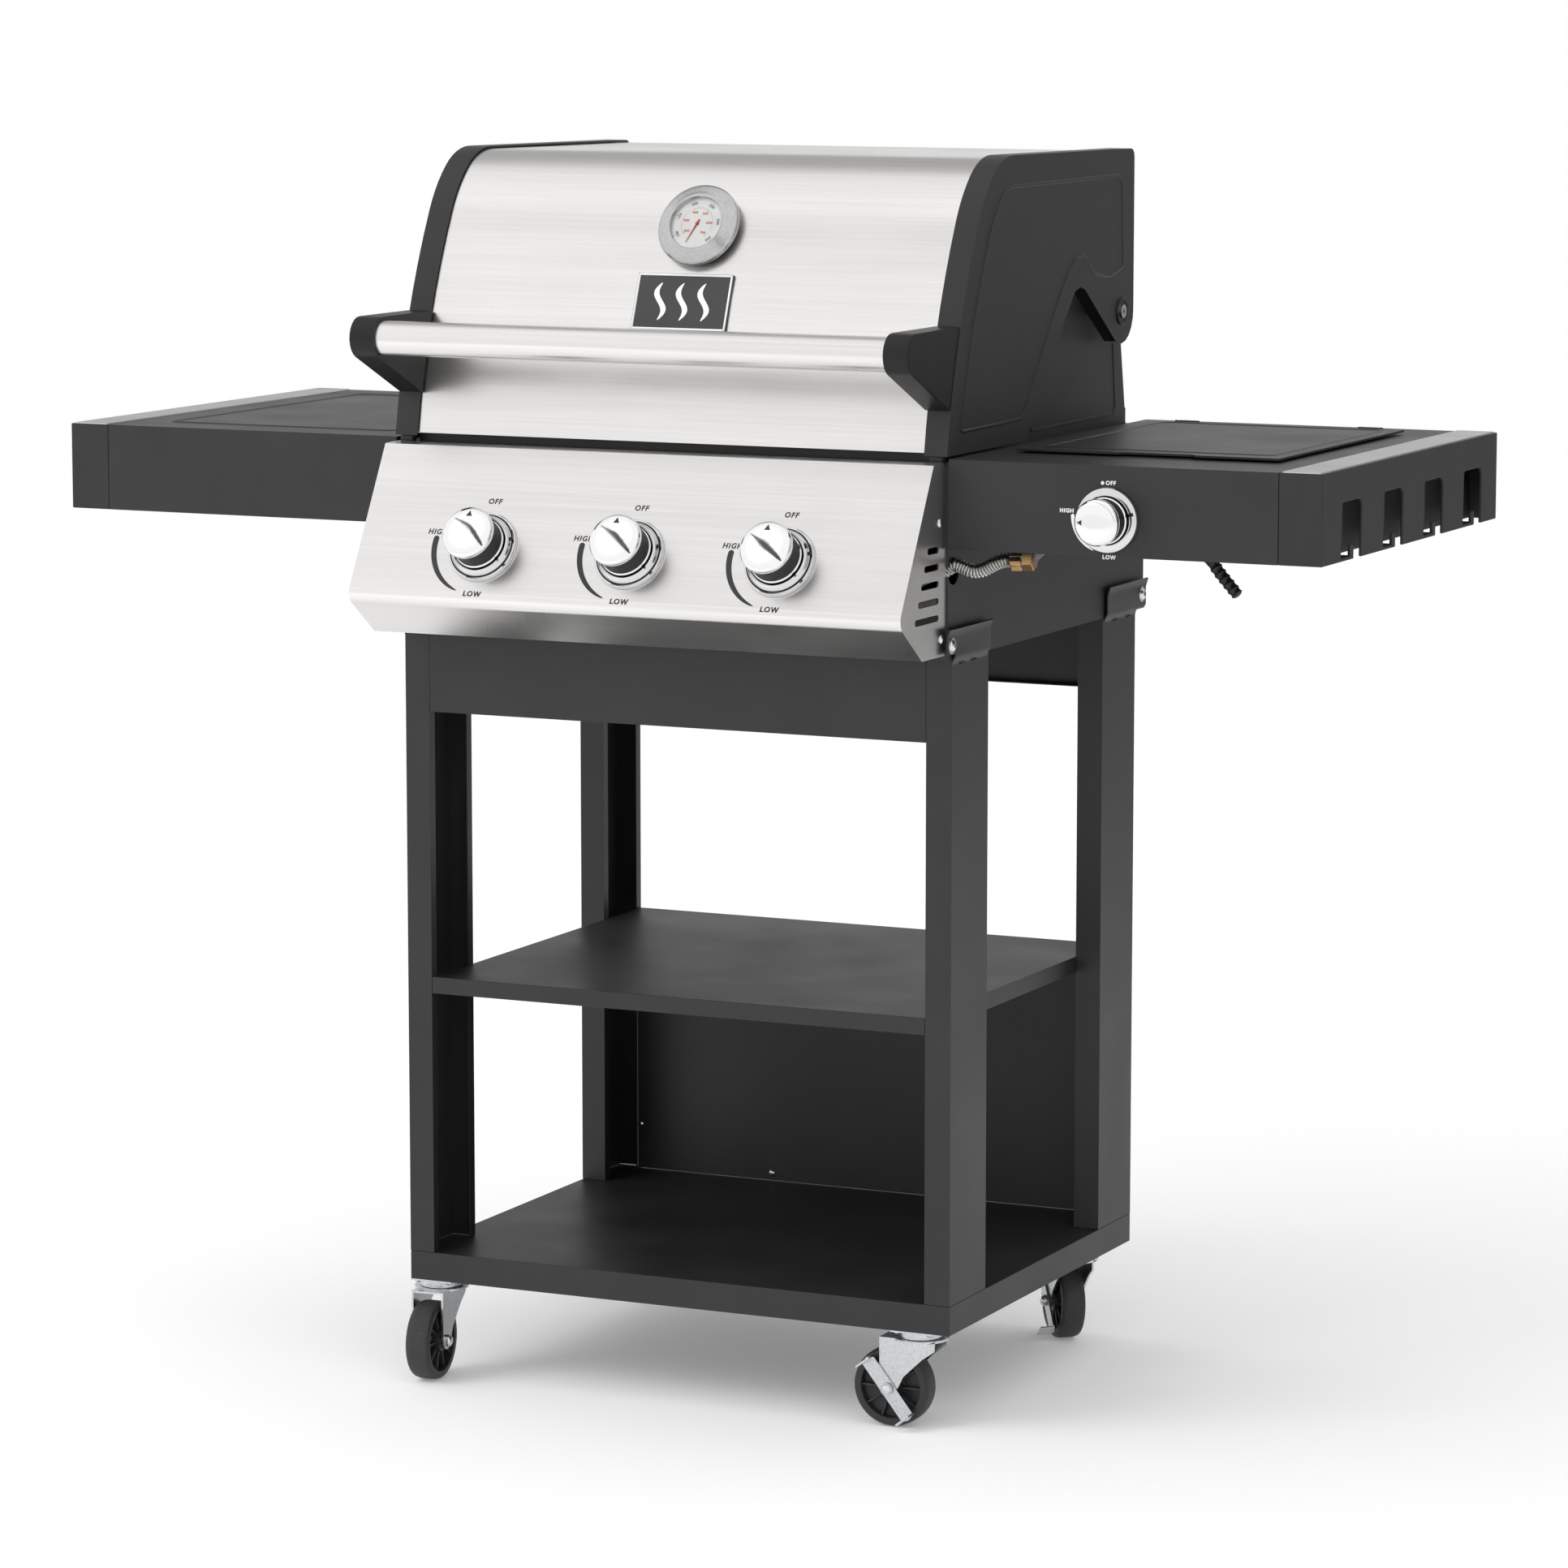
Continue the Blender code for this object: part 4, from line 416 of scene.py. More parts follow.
def slab(shape, outline, bottom, top, taper=0.0, matrix=None, look=0):
    """An outline raised from one height to another. The top is drawn in by the taper."""
    inner = inset(outline, taper) if taper else outline
    base = [shape.verts.new((x, y, bottom)) for x, y in outline]
    cap = [shape.verts.new((x, y, top)) for x, y in inner]
    count = len(outline)
    faces = [shape.faces.new(cap), shape.faces.new(list(reversed(base)))]
    for i in range(count):
        j = (i + 1) % count
        faces.append(shape.faces.new((base[i], base[j], cap[j], cap[i])))
    for face in faces:
        face.material_index = look
    if matrix is not None:
        bmesh.ops.transform(shape, matrix=matrix, verts=base + cap)


def inset(outline, distance):
    """The corners of a closed outline moved inwards."""
    points = [Vector(p) for p in outline]
    count = len(points)
    area = sum(points[i].cross(points[(i + 1) % count]) for i in range(count))
    turn = 1 if area > 0 else -1
    moved = []
    for i, corner in enumerate(points):
        one = (corner - points[i - 1]).normalized()
        two = (points[(i + 1) % count] - corner).normalized()
        in_one = Vector((-one.y, one.x)) * turn
        in_two = Vector((-two.y, two.x)) * turn
        middle = (in_one + in_two).normalized()
        moved.append(tuple(corner + middle * distance / max(0.3, middle.dot(in_one))))
    return moved


def rounded(corners, radius, count=5):
    """An outline whose corners are arcs."""
    points = []
    total = len(corners)
    for i, corner in enumerate(corners):
        corner = Vector(corner)
        one = (Vector(corners[i - 1]) - corner).normalized()
        two = (Vector(corners[(i + 1) % total]) - corner).normalized()
        half = one.angle(two) / 2
        size = radius[i] if isinstance(radius, (list, tuple)) else radius
        centre = corner + (one + two).normalized() * size / math.sin(half)
        first = corner + one * size / math.tan(half) - centre
        last = corner + two * size / math.tan(half) - centre
        for k in range(count + 1):
            points.append(tuple(centre + first.slerp(last, k / count).normalized() * size))
    return points


def ring_outline(shape, outline, width, bottom, top, taper, matrix=None, look=0):
    """A raised bead that follows a closed outline."""
    loops = [
        (outline, bottom),
        (inset(outline, taper), top),
        (inset(outline, width - taper), top),
        (inset(outline, width), bottom),
    ]
    rows = [[shape.verts.new((x, y, z)) for x, y in points] for points, z in loops]
    count = len(outline)
    for k in range(4):
        one, two = rows[k], rows[(k + 1) % 4]
        for i in range(count):
            j = (i + 1) % count
            shape.faces.new((one[i], one[j], two[j], two[i])).material_index = look
    if matrix is not None:
        bmesh.ops.transform(shape, matrix=matrix, verts=[v for row in rows for v in row])


def smooth_route(route, between):
    """A smooth curve through a route's points, with a number of steps from each to the next."""
    points = [Vector(p) for p in route]
    ends = [2 * points[0] - points[1]] + points + [2 * points[-1] - points[-2]]
    made = []
    for i in range(1, len(ends) - 2):
        a, b, c, d = ends[i - 1 : i + 3]
        for k in range(between):
            t = k / between
            curve = 2 * b + (c - a) * t + (2 * a - 5 * b + 4 * c - d) * t**2
            made.append(0.5 * (curve + (3 * b - a - 3 * c + d) * t**3))
    return made + [points[-1]]


def evenly(points, step):
    """Points at even steps along a polyline, with the distance of each."""
    made, travelled, due = [(points[0], 0.0)], 0.0, step
    for a, b in zip(points, points[1:]):
        run = (b - a).length
        while travelled + run >= due:
            made.append((a.lerp(b, (due - travelled) / run), due))
            due += step
        travelled += run
    return made


def sweep(shape, points, radius_at, sides=20):
    """A closed tube along points, whose radius depends on the distance along it."""
    rings = []
    side = Vector((0, 1, 0))
    for i, (point, distance) in enumerate(points):
        before = points[max(0, i - 1)][0]
        after = points[min(len(points) - 1, i + 1)][0]
        along = (after - before).normalized()
        side = (side - along * side.dot(along)).normalized()
        other = along.cross(side)
        radius = radius_at(distance)
        ring = []
        for k in range(sides):
            a = 2 * math.pi * k / sides
            ring.append(shape.verts.new(point + radius * (math.cos(a) * side + math.sin(a) * other)))
        rings.append(ring)
    for one, two in zip(rings, rings[1:]):
        for k in range(sides):
            shape.faces.new((one[k], one[(k + 1) % sides], two[(k + 1) % sides], two[k]))
    shape.faces.new(rings[0])
    shape.faces.new(rings[-1])


def lettering(name, words, size, matrix, look, body, shear=0.0, weight=0.0):
    """Raised flat lettering, made a mesh."""
    curve = bpy.data.curves.new(name, "FONT")
    curve.body = words
    curve.size = size
    curve.align_x, curve.align_y = "CENTER", "CENTER"
    curve.shear = shear
    curve.offset = weight
    curve.extrude = 0.00008
    curve.resolution_u = 4
    curve.space_character = 1.20
    holder = bpy.data.objects.new(name + "_curve", curve)
    bpy.context.scene.collection.objects.link(holder)
    bpy.context.view_layer.update()
    graph = bpy.context.evaluated_depsgraph_get()
    mesh = bpy.data.meshes.new_from_object(holder.evaluated_get(graph))
    bpy.data.objects.remove(holder)
    mesh.materials.clear()
    return piece(name, mesh, look, body, matrix=matrix)


# ---------------------------------------------------------------- knobs


# (share of the cap's radius, height) of the domed cap of a 40 mm tall knob
KNOB_CAP = (
    (0.0, 0.0400), (0.20, 0.03997), (0.44, 0.0398), (0.66, 0.0393), (0.84, 0.0384),
    (0.93, 0.0374), (0.975, 0.0363), (0.995, 0.0350), (1.0, 0.0340), (1.0, 0.0316),
    (0.985, 0.0308), (0.955, 0.0305),
)


def knob(place, matrix, cap, bezel, height, body, turn):
    """A domed chrome cap over a dark textured skirt, with a pointer on its face."""
    drop = height - 0.040
    profile = [(cap * share, level + drop, 0) for share, level in KNOB_CAP[:-1]]
    skirt = cap * 0.945
    top = 0.0305 + drop
    profile += [(cap * 0.955, top, 1), (skirt, top - 0.0004, 1)]
    rows, foot = 7, 0.0125
    step = (top - foot) / rows
    for i in range(rows):
        level = top - 0.001 - (top - foot) * i / rows
        profile.append((skirt, level, 1))
        profile += [(skirt - 0.0003, level - step * share, 1) for share in (0.35, 0.65)]
    profile += [
        (skirt, 0.0118, 0), (skirt + 0.0008, 0.0112, 0), (skirt + 0.0010, 0.0102, 0),
        (skirt + 0.0004, 0.0092, 1), (skirt, 0.0080, 1), (skirt - 0.003, 0.0080, 1),
        (0.0080, 0.0080, 1), (0, 0.0080, 1),
    ]
    shape = bmesh.new()
    lathe(shape, profile, 96)
    size = cap / 0.025
    spin = Matrix.Rotation(turn, 4, "Z") @ Matrix.Translation((0, cap * 0.68, height - 0.00085))
    triangle = [(-0.0029 * size, -0.0026 * size), (0.0029 * size, -0.0026 * size), (0, 0.0030 * size)]
    slab(shape, triangle, -0.0012, 0.00022, 0.0, spin @ Matrix.Rotation(-0.15, 4, "X"), 2)
    looks = [CHROME, SKIRT, GREY_INK]
    made = piece(f"knob_face_{place}", mesh_of(shape, f"knob_{place}"), looks, body, matrix)
    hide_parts(f"knob_{place}")
    # Faces marked 1 are black: painted shade on the ring's inner ledge and in its bore under the knob, and in the
    # stepped ring's groove
    flat_ring = [
        (bezel, 0.0003), (bezel, 0.0050), (bezel - 0.0005, 0.0059), (bezel - 0.0012, 0.0062),
        (bezel - 0.0064, 0.0064), (bezel - 0.0069, 0.0070), (bezel - 0.0073, 0.0068),
        (bezel - 0.0076, 0.0058), (bezel - 0.0077, 0.0030, 1), (0.0062, 0.0030, 1), (0.0062, 0.0003, 1),
    ]
    stepped_ring = [
        (bezel, 0.0003), (bezel, 0.0030), (bezel - 0.0005, 0.0040), (bezel - 0.0014, 0.0044),
        (bezel - 0.0024, 0.0042, 1), (bezel - 0.0026, 0.0034, 1), (bezel - 0.0034, 0.0034, 1),
        (bezel - 0.0036, 0.0050), (bezel - 0.0042, 0.0062), (bezel - 0.0052, 0.0078),
        (bezel - 0.0064, 0.0090), (bezel - 0.0074, 0.0095), (bezel - 0.0083, 0.0091),
        (bezel - 0.0088, 0.0080), (bezel - 0.0090, 0.0030, 1), (0.0062, 0.0030, 1), (0.0062, 0.0003, 1),
    ]
    shape = bmesh.new()
    lathe(shape, flat_ring if place == "side" else stepped_ring, 96, closed=True)
    # A small black block in the bezel's rim: painted shade of its flame slot
    low, high = (bezel - 0.0055, -0.0016, 0.0058), (bezel - 0.0028, 0.0016, 0.0076)
    block(shape, low, high, 0.0003, Matrix.Rotation(math.radians(14), 4, "Z"), 1)
    looks = [RING, BLACK_AND_SHADE]
    made = piece(f"bezel_ring_{place}", mesh_of(shape, f"bezel_{place}"), looks, "cart", matrix)
    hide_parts(f"knob_bezel_{place}")


def crescent(name, matrix, first, last, radius, thick, look):
    """A mark that tapers from a round thick end to a point, round the knob."""
    count = 28
    outer, inner = [], []
    for i in range(count + 1):
        t = i / count
        a = math.radians(first + (last - first) * t)
        middle = radius[0] + (radius[1] - radius[0]) * t
        half = thick * math.sqrt(max(0.0, 1 - t**1.7))
        outer.append(((middle + half) * math.cos(a), (middle + half) * math.sin(a)))
        inner.append(((middle - half) * math.cos(a), (middle - half) * math.sin(a)))
    a = math.radians(first)
    centre = Vector((radius[0] * math.cos(a), radius[0] * math.sin(a)))
    end = []
    for i in range(1, 8):
        b = a + math.pi + math.pi * i / 8
        end.append((centre.x + thick * math.cos(b), centre.y + thick * math.sin(b)))
    shape = bmesh.new()
    slab(shape, outer + list(reversed(inner[:-1])) + end, 0.00002, 0.00022, 0.0, matrix, 0)
    piece(name, mesh_of(shape, name), look, "cart")


def panel_place(x):
    """A matrix on the slanted face of the control panel, at the knobs' level."""
    share = (KNOB_LEVEL - PANEL_BEND[1]) / (PANEL_TOP[1] - PANEL_BEND[1])
    y = PANEL_BEND[0] + share * (PANEL_TOP[0] - PANEL_BEND[0])
    return frame_at(at(x, y, KNOB_LEVEL), PANEL_NORMAL, (0, 0, 1))


for index, place_name in enumerate(("left", "middle", "right")):
    seat = panel_place((index - 1) * KNOB_PITCH)
    knob(place_name, seat, 0.025, 0.034, 0.040, f"dial_{place_name}", 0)
    for word, x, y in (("OFF", 0.0008, 0.0462), ("HIGH", -0.0505, 0.0136), ("LOW", -0.0008, -0.0462)):
        spot = seat @ Matrix.Translation((x, y, 0.00006))
        lettering(f"mark_{word.lower()}_{place_name}", word, 0.0071, spot, GREY_INK, "cart", 0.12, 0.00022)
    crescent(f"mark_level_{place_name}", seat, 172, 249, (0.0508, 0.0466), 0.0028, GREY_INK)
side_seat = frame_at(at(0.4355, -0.2338, 0.8528), (0, -1, 0), (0, 0, 1))
knob("side", side_seat, 0.021, 0.029, 0.035, "dial_side", math.pi / 2)
for word, x, y in (("OFF", 0.0016, 0.0325), ("HIGH", -0.0402, 0.0066), ("LOW", 0.0004, -0.0334)):
    spot = side_seat @ Matrix.Translation((x, y, 0.00006))
    lettering(f"mark_{word.lower()}_side", word, 0.0049, spot, WHITE_INK, "cart", 0.0, 0.00020)
crescent("mark_level_side", side_seat, 176, 243, (0.0345, 0.0312), 0.0016, WHITE_INK)
dot = bmesh.new()
lathe(dot, [(0, 0.0002), (0.0016, 0.0002), (0.0016, 0.00002), (0, 0.00002)], 20)
spot = side_seat @ Matrix.Translation((-0.0062, 0.0325, 0))
piece("mark_dot_side", mesh_of(dot, "mark_dot"), WHITE_INK, "cart", matrix=spot)


# ---------------------------------------------------------------- hood details


def hood_point(angle, outward=0.0):
    """(point, normal) on the hood's front arc about the cart's middle."""
    a = math.radians(angle)
    out = Vector((0, -math.cos(a), math.sin(a)))
    centre = Vector((0, *HOOD_ARC_CENTRE))
    return centre + out * (HOOD_ARC_RADIUS + outward), out


point, normal = hood_point(27.3)
dial_seat = frame_at(at(0.0055, point.y, point.z), normal, (0, 0, 1))
shape = bmesh.new()
lathe(
    shape,
    [
        (0, 0.0090, 1), (0.0252, 0.0090, 0), (0.0256, 0.0106, 0), (0.0262, 0.0126, 0), (0.0270, 0.0132, 0),
        (0.0282, 0.0131, 0), (0.0292, 0.0124, 0), (0.0330, 0.0108, 0), (0.0368, 0.0092, 0), (0.0390, 0.0080, 0),
        (0.0400, 0.0062, 0), (0.0400, 0.0036, 0), (0.0392, 0.0031, 0), (0.0200, 0.0028, 0),
        (0.0200, -0.0010, 0), (0.0045, -0.0010, 0), (0.0045, -0.0350, 0), (0, -0.0350, 0),
    ],
    128,
)
made = piece("thermometer_body", mesh_of(shape, "thermometer"), [DIAL_STEEL, DIAL], "hood", dial_seat)
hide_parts("thermometer")
ticks = bmesh.new()
SCALES = (
    # first and last angle, steps, steps to a number, inner and outer end of a mark, mark's look
    (212, -46, 60, 12, 0.0236, 0.0246, 0),
    (220, -50, 50, 10, 0.0152, 0.0162, 1),
)
for first, last, steps, every, inner, outer, look in SCALES:
    for i in range(steps + 1):
        turn = Matrix.Rotation(math.radians(first + (last - first) * i / steps), 4, "Z")
        half = 0.00024 if i % every == 0 else 0.00012
        start = inner - (0.0008 if i % every == 0 else 0)
        block(ticks, (start, -half, 0.0090), (outer, half, 0.00912), 0, turn, look)
piece("thermometer_scale", mesh_of(ticks, "ticks"), [GREY_INK, RED], "hood", matrix=dial_seat)
NUMBERS = (
    (212, -46, ("100", "150", "200", "250", "300", "350"), 0.0206, 0.0037, GREY_INK, "c"),
    (220, -50, ("200", "300", "400", "500", "600", "700"), 0.0118, 0.0033, RED, "f"),
)
for first, last, words, radius, size, look, mark in NUMBERS:
    for i, word in enumerate(words):
        a = math.radians(first + (last - first) * i / (len(words) - 1))
        spot = dial_seat @ Matrix.Translation((radius * math.cos(a), radius * math.sin(a), 0.00906))
        if mark == "c":
            spot = spot @ Matrix.Rotation(a - math.pi / 2, 4, "Z")
        lettering(f"thermometer_{mark}_{word}", word, size, spot, look, "hood", 0.0, 0.00008)
needle = bmesh.new()
spin = Matrix.Rotation(math.radians(248), 4, "Z")
outline = [(-0.0045, -0.0006), (0.0205, -0.00018), (0.0205, 0.00018), (-0.0045, 0.0006)]
slab(needle, outline, 0.0096, 0.0099, 0, spin)
lathe(needle, [(0, 0.0105), (0.0013, 0.0103), (0.0017, 0.0096), (0.0017, 0.0090), (0, 0.0090)], 24)
piece("thermometer_needle", mesh_of(needle, "needle"), RED, "hood", matrix=dial_seat)

# Nameplate: a plain plate with a rim and three rising waves
point, normal = hood_point(20.84, -SKIN_RECESS)
plate_seat = frame_at(at(0, point.y, point.z), normal, (0, 0, 1))
shape = bmesh.new()
outline = rounded([(-0.0485, -0.0275), (0.0485, -0.0275), (0.0485, 0.0275), (-0.0485, 0.0275)], 0.0012, 3)
slab(shape, outline, -0.0003, 0.0022, 0.0004, plate_seat, 0)
ring_outline(shape, inset(outline, 0.0006), 0.0022, 0.0020, 0.0030, 0.0005, plate_seat, 1)
for k in range(3):
    start = -0.022 + 0.022 * k
    left, right = [], []
    for i in range(33):
        t = i / 32
        x = start + 0.0045 * math.sin(2 * math.pi * t)
        y = -0.018 + 0.036 * t
        half = 0.0030 * math.sin(math.pi * t) ** 0.6 + 0.0001
        left.append((x - half, y))
        right.append((x + half, y))
    slab(shape, right + list(reversed(left)), 0.0020, 0.0028, 0.0, plate_seat, 1)
piece("nameplate", mesh_of(shape, "nameplate"), [PLATE, WHITE_INK], "hood")


def side_frame(sign):
    """A matrix that lays (Y about the cart's middle, Z, outwards) on one side of the grill."""
    return Matrix(((0, 0, sign, 0), (1, 0, 0, MIDDLE), (0, 1, 0, 0), (0, 0, 0, 1)))


def hood_curve(inset_by):
    """The hood's front and top outline, moved inwards."""
    foot, begin, points = Vector((-0.2360, 0.9028)), 9.0, []
    for radius, last in ((0.6470, 28.4), (0.1370, 50.0), (0.0723, 90.7)):
        a = math.radians(begin)
        centre = foot + radius * Vector((math.cos(a), -math.sin(a)))
        for i in range(0 if not points else 1, 9):
            b = math.radians(begin + (last - begin) * i / 8)
            points.append(tuple(centre + (radius - inset_by) * Vector((-math.cos(b), math.sin(b)))))
        b = math.radians(last)
        foot = centre + radius * Vector((-math.cos(b), math.sin(b)))
        begin = last
    return points


for side, sign in (("left", -1), ("right", 1)):
    shape = bmesh.new()
    matrix = side_frame(sign)
    # Embossed panel of the hood's side
    front = [p for p in hood_curve(0.0265) if p[1] > 0.9310]
    corners = front + [(0.1690, 1.1402), (0.1820, 1.1330), (0.1850, 1.0500)]
    corners += [(0.1500, 1.0420), (0.1140, 1.0452)]
    corners += [(0.0870, 1.0640), (0.0670, 1.0650), (0.0440, 1.0480), (0.0120, 1.0140), (-0.0545, 0.9300)]
    corners += [(-0.0640, 0.9222), (-0.2020, 0.9207), (-0.2085, 0.9250)]
    ring_outline(shape, corners, 0.0040, 0.2802, 0.2811, 0.0013, matrix)
    # The notch's folded edges
    notch = [(0.1690, 0.9805), (0.0868, 1.0346), (0.0756, 1.0374)]
    notch += [(0.0627, 1.0339), (0.0185, 0.9895), (-0.0573, 0.9030)]
    for one, two in zip(notch, notch[1:]):
        one, two = Vector(one), Vector(two)
        along = (two - one).normalized()
        inward = Vector((along.y, -along.x)) * 0.0012
        strip = [tuple(one), tuple(two), tuple(two + inward), tuple(one + inward)]
        slab(shape, strip, 0.2668, 0.2795, 0, matrix)
    piece(f"hood_emboss_{side}", mesh_of(shape, f"hood_emboss_{side}"), POWDER, "hood")
    # Recessed washer round the hinge screw
    shape = bmesh.new()
    washer = [(0.0068, 0.0002), (0.0068, 0.0010), (0.0118, 0.0010)]
    washer += [(0.0124, 0.0016), (0.0130, 0.0014), (0.0133, 0.0002)]
    lathe(shape, washer, 64, closed=True)
    seat = frame_at(at(sign * 0.2804, *HINGE), (sign, 0, 0), (0, 0, 1))
    piece(f"hinge_washer_{side}", mesh_of(shape, f"hinge_washer_{side}"), BLACK_AND_SHADE, "hood", matrix=seat)
    # A black cross on the hinge screw: painted shade of its cross recess
    shape = bmesh.new()
    for turn in (0.2, 0.2 + math.pi / 2):
        spin = Matrix.Rotation(turn, 4, "Z")
        block(shape, (-0.0030, -0.0006, 0.0026), (0.0030, 0.0006, 0.00292), 0, spin)
    piece(f"hinge_cross_shade_{side}", mesh_of(shape, f"hinge_cross_shade_{side}"), BLACK_AND_SHADE, "cart", matrix=seat)
    # Embossed lines on the firebox's side, behind the notch
    shape = bmesh.new()
    line = [(-0.0020, 0.9120), (0.0040, 0.9075), (0.2050, 0.9085), (0.2095, 0.9140), (0.2030, 0.9770)]
    for one, two in zip(line, line[1:]):
        one, two = Vector(one), Vector(two)
        along = (two - one).normalized()
        across = Vector((-along.y, along.x)) * 0.0016
        strip = [tuple(one - across), tuple(two - across), tuple(two + across), tuple(one + across)]
        slab(shape, strip, 0.2620, 0.2630, 0.0006, matrix)
    piece(f"firebox_emboss_{side}", mesh_of(shape, f"firebox_emboss_{side}"), POWDER, "cart")


# ---------------------------------------------------------------- fasteners


def dome(shape, matrix, radius, height, cross=True, washer=False):
    """A domed screw head, with a black cross of painted shade for its cross recess, and a washer, where they are
    asked for.
    """
    sunk = -0.0002
    profile = [(0, height), (radius * 0.45, height * 0.94), (radius * 0.78, height * 0.68)]
    profile += [(radius * 0.95, height * 0.34), (radius, height * 0.10), (radius, sunk), (0, sunk)]
    lathe(shape, profile, 32, matrix)
    if washer:
        ring = [(0, height * 0.25), (radius * 1.25, height * 0.25), (radius * 1.32, height * 0.15)]
        ring += [(radius * 1.32, sunk), (0, sunk)]
        lathe(shape, ring, 32, matrix)
    # The cross is black: painted shade in the screw's cross recess
    if cross:
        for turn in (0.35, 0.35 + math.pi / 2):
            half = radius * 0.09
            low = (-radius * 0.42, -half, height * 0.80)
            high = (radius * 0.42, half, height * 1.005)
            block(shape, low, high, 0, matrix @ Matrix.Rotation(turn, 4, "Z"), 1)


for side, sign in (("left", -1), ("right", 1)):
    shape = bmesh.new()
    for y, z in ((-0.2458, 0.8444), (-0.2418, 0.7394)):
        dome(shape, frame_at(at(sign * 0.2780, y, z), (sign, 0, 0), (0, 0, 1)), 0.0042, 0.0022)
    for y in (-0.2305, 0.2305):
        seat = frame_at(at(sign * 0.2836, y, 0.7326), (sign, 0, 0), (0, 0, 1))
        dome(shape, seat, 0.0056, 0.0034, washer=True)
    # Thin black bars low on the side: painted shade of the side's slots
    for y in (-0.2000, -0.1720, 0.1700, 0.2040):
        xs = sorted((sign * 0.2800, sign * 0.2812))
        block(shape, at(xs[0], y - 0.0050, 0.7132), at(xs[1], y + 0.0050, 0.7143), 0, None, 1)
    piece(f"side_screws_{side}", mesh_of(shape, f"side_screws_{side}"), [BOLT, BLACK_AND_SHADE], "cart")
shape = bmesh.new()
BACK_SCREWS = ((-0.251, 0.168), (-0.104, 0.1300), (0.104, 0.1300), (0.251, 0.168), (-0.251, 0.330), (0.251, 0.330))
for x, z in BACK_SCREWS:
    dome(shape, frame_at(at(x, 0.2124, z), (0, -1, 0), (0, 0, 1)), 0.0034, 0.0018)
piece("back_screws", mesh_of(shape, "back_screws"), [BOLT, BLACK_AND_SHADE], "cart")
shape = bmesh.new()
for x in (-0.2690, 0.2690):
    block(shape, at(x - 0.0065, -0.2360, 0.8966), at(x + 0.0065, -0.2280, 0.9024), 0.0010)
piece("hood_pads", mesh_of(shape, "hood_pads"), RUBBER, "cart")


# ---------------------------------------------------------------- shelves


ON_CART = Matrix.Translation((0, MIDDLE, 0))
for side, sign in (("left", -1), ("right", 1)):
    shape = bmesh.new()
    xs = sorted((sign * 0.5966, sign * 0.6332))
    outline = rounded([(xs[0], -0.2322), (xs[1], -0.2322), (xs[1], 0.2425), (xs[0], 0.2425)], 0.0015, 3)
    slab(shape, outline, SHELF_TOP - 0.0002, SHELF_TOP + 0.0009, 0.0005, ON_CART)
    piece(f"cap_strip_{side}", mesh_of(shape, f"cap_strip_{side}"), STRIP, "cart")
shape = bmesh.new()
outline = rounded([(-0.5600, -0.1840), (-0.3120, -0.1840), (-0.3120, 0.1960), (-0.5600, 0.1960)], 0.012)
ring_outline(shape, outline, 0.0050, SHELF_TOP - 0.0001, SHELF_TOP + 0.0009, 0.0018, ON_CART)
piece("shelf_emboss_left", mesh_of(shape, "shelf_emboss_left"), POWDER, "cart")
shape = bmesh.new()
outline = rounded([(0.3230, -0.1240), (0.5500, -0.1240), (0.5500, 0.1760), (0.3230, 0.1760)], 0.012)
lid_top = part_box("side_burner_lid")[0].z + 0.0023
ring_outline(shape, outline, 0.0045, lid_top - 0.0002, lid_top + 0.0007, 0.0016, ON_CART)
piece("lid_emboss", mesh_of(shape, "lid_emboss"), POWDER, "side_lid")
shape = bmesh.new()
grip = [(0.4028, -0.1475), (0.4888, -0.1475), (0.4768, -0.1352), (0.4148, -0.1352)]
slab(shape, grip, SHELF_TOP - 0.0001, SHELF_TOP + 0.0004, 0, ON_CART)
piece("lid_grip_shade", mesh_of(shape, "lid_grip_shade"), BLACK_AND_SHADE, "cart")
# A rib inside each tool slot
for side, sign in (("left", -1), ("right", 1)):
    shape = bmesh.new()
    xs = sorted((sign * 0.6085, sign * 0.6105))
    block(shape, at(xs[0], -0.2300, 0.8200), at(xs[1], 0.2400, 0.8970))
    for i in range(4):
        y = -0.1850 + 0.1107 * i + 0.018
        rib = sorted((sign * 0.6105, sign * 0.6290))
        block(shape, at(rib[0], y, 0.8330), at(rib[1], y + 0.0025, 0.8970))
    piece(f"cap_ribs_{side}", mesh_of(shape, f"cap_ribs_{side}"), CAP, "cart")


# ---------------------------------------------------------------- gas parts

PIPE_ROUTE = (
    (0.2700, -0.2195, 0.7988), (0.2725, -0.2195, 0.7992), (0.2810, -0.2190, 0.8043), (0.2890, -0.2175, 0.8023),
    (0.2970, -0.2160, 0.7993), (0.3060, -0.2140, 0.8003), (0.3150, -0.2120, 0.8053), (0.3230, -0.2100, 0.8088),
    (0.3285, -0.2083, 0.8098), (0.3310, -0.2080, 0.8098),
)
PIPE_PITCH = 0.0027
shape = bmesh.new()
route = evenly(smooth_route([at(*p) for p in PIPE_ROUTE], 6), PIPE_PITCH / 8)
sweep(shape, route, lambda d: 0.0047 + 0.0020 * math.sqrt(0.5 + 0.5 * math.cos(2 * math.pi * d / PIPE_PITCH)), 24)
made = piece("corrugated_pipe", mesh_of(shape, "corrugated_pipe"), PIPE, "cart", crease=80)
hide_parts("gas_pipe")
shape = bmesh.new()
fitting = frame_at(at(0.3322, -0.2080, 0.8098), (1, 0.06, 0.03), (0, 0, 1))
nut = [(0, 0.0), (0.0092, 0.0), (0.0104, 0.0012), (0.0104, 0.0098), (0.0092, 0.0110), (0, 0.0110)]
lathe(shape, nut, 6, fitting)
neck = [(0, 0.0112), (0.0086, 0.0112), (0.0096, 0.0120), (0.0096, 0.0206), (0.0088, 0.0214), (0, 0.0214)]
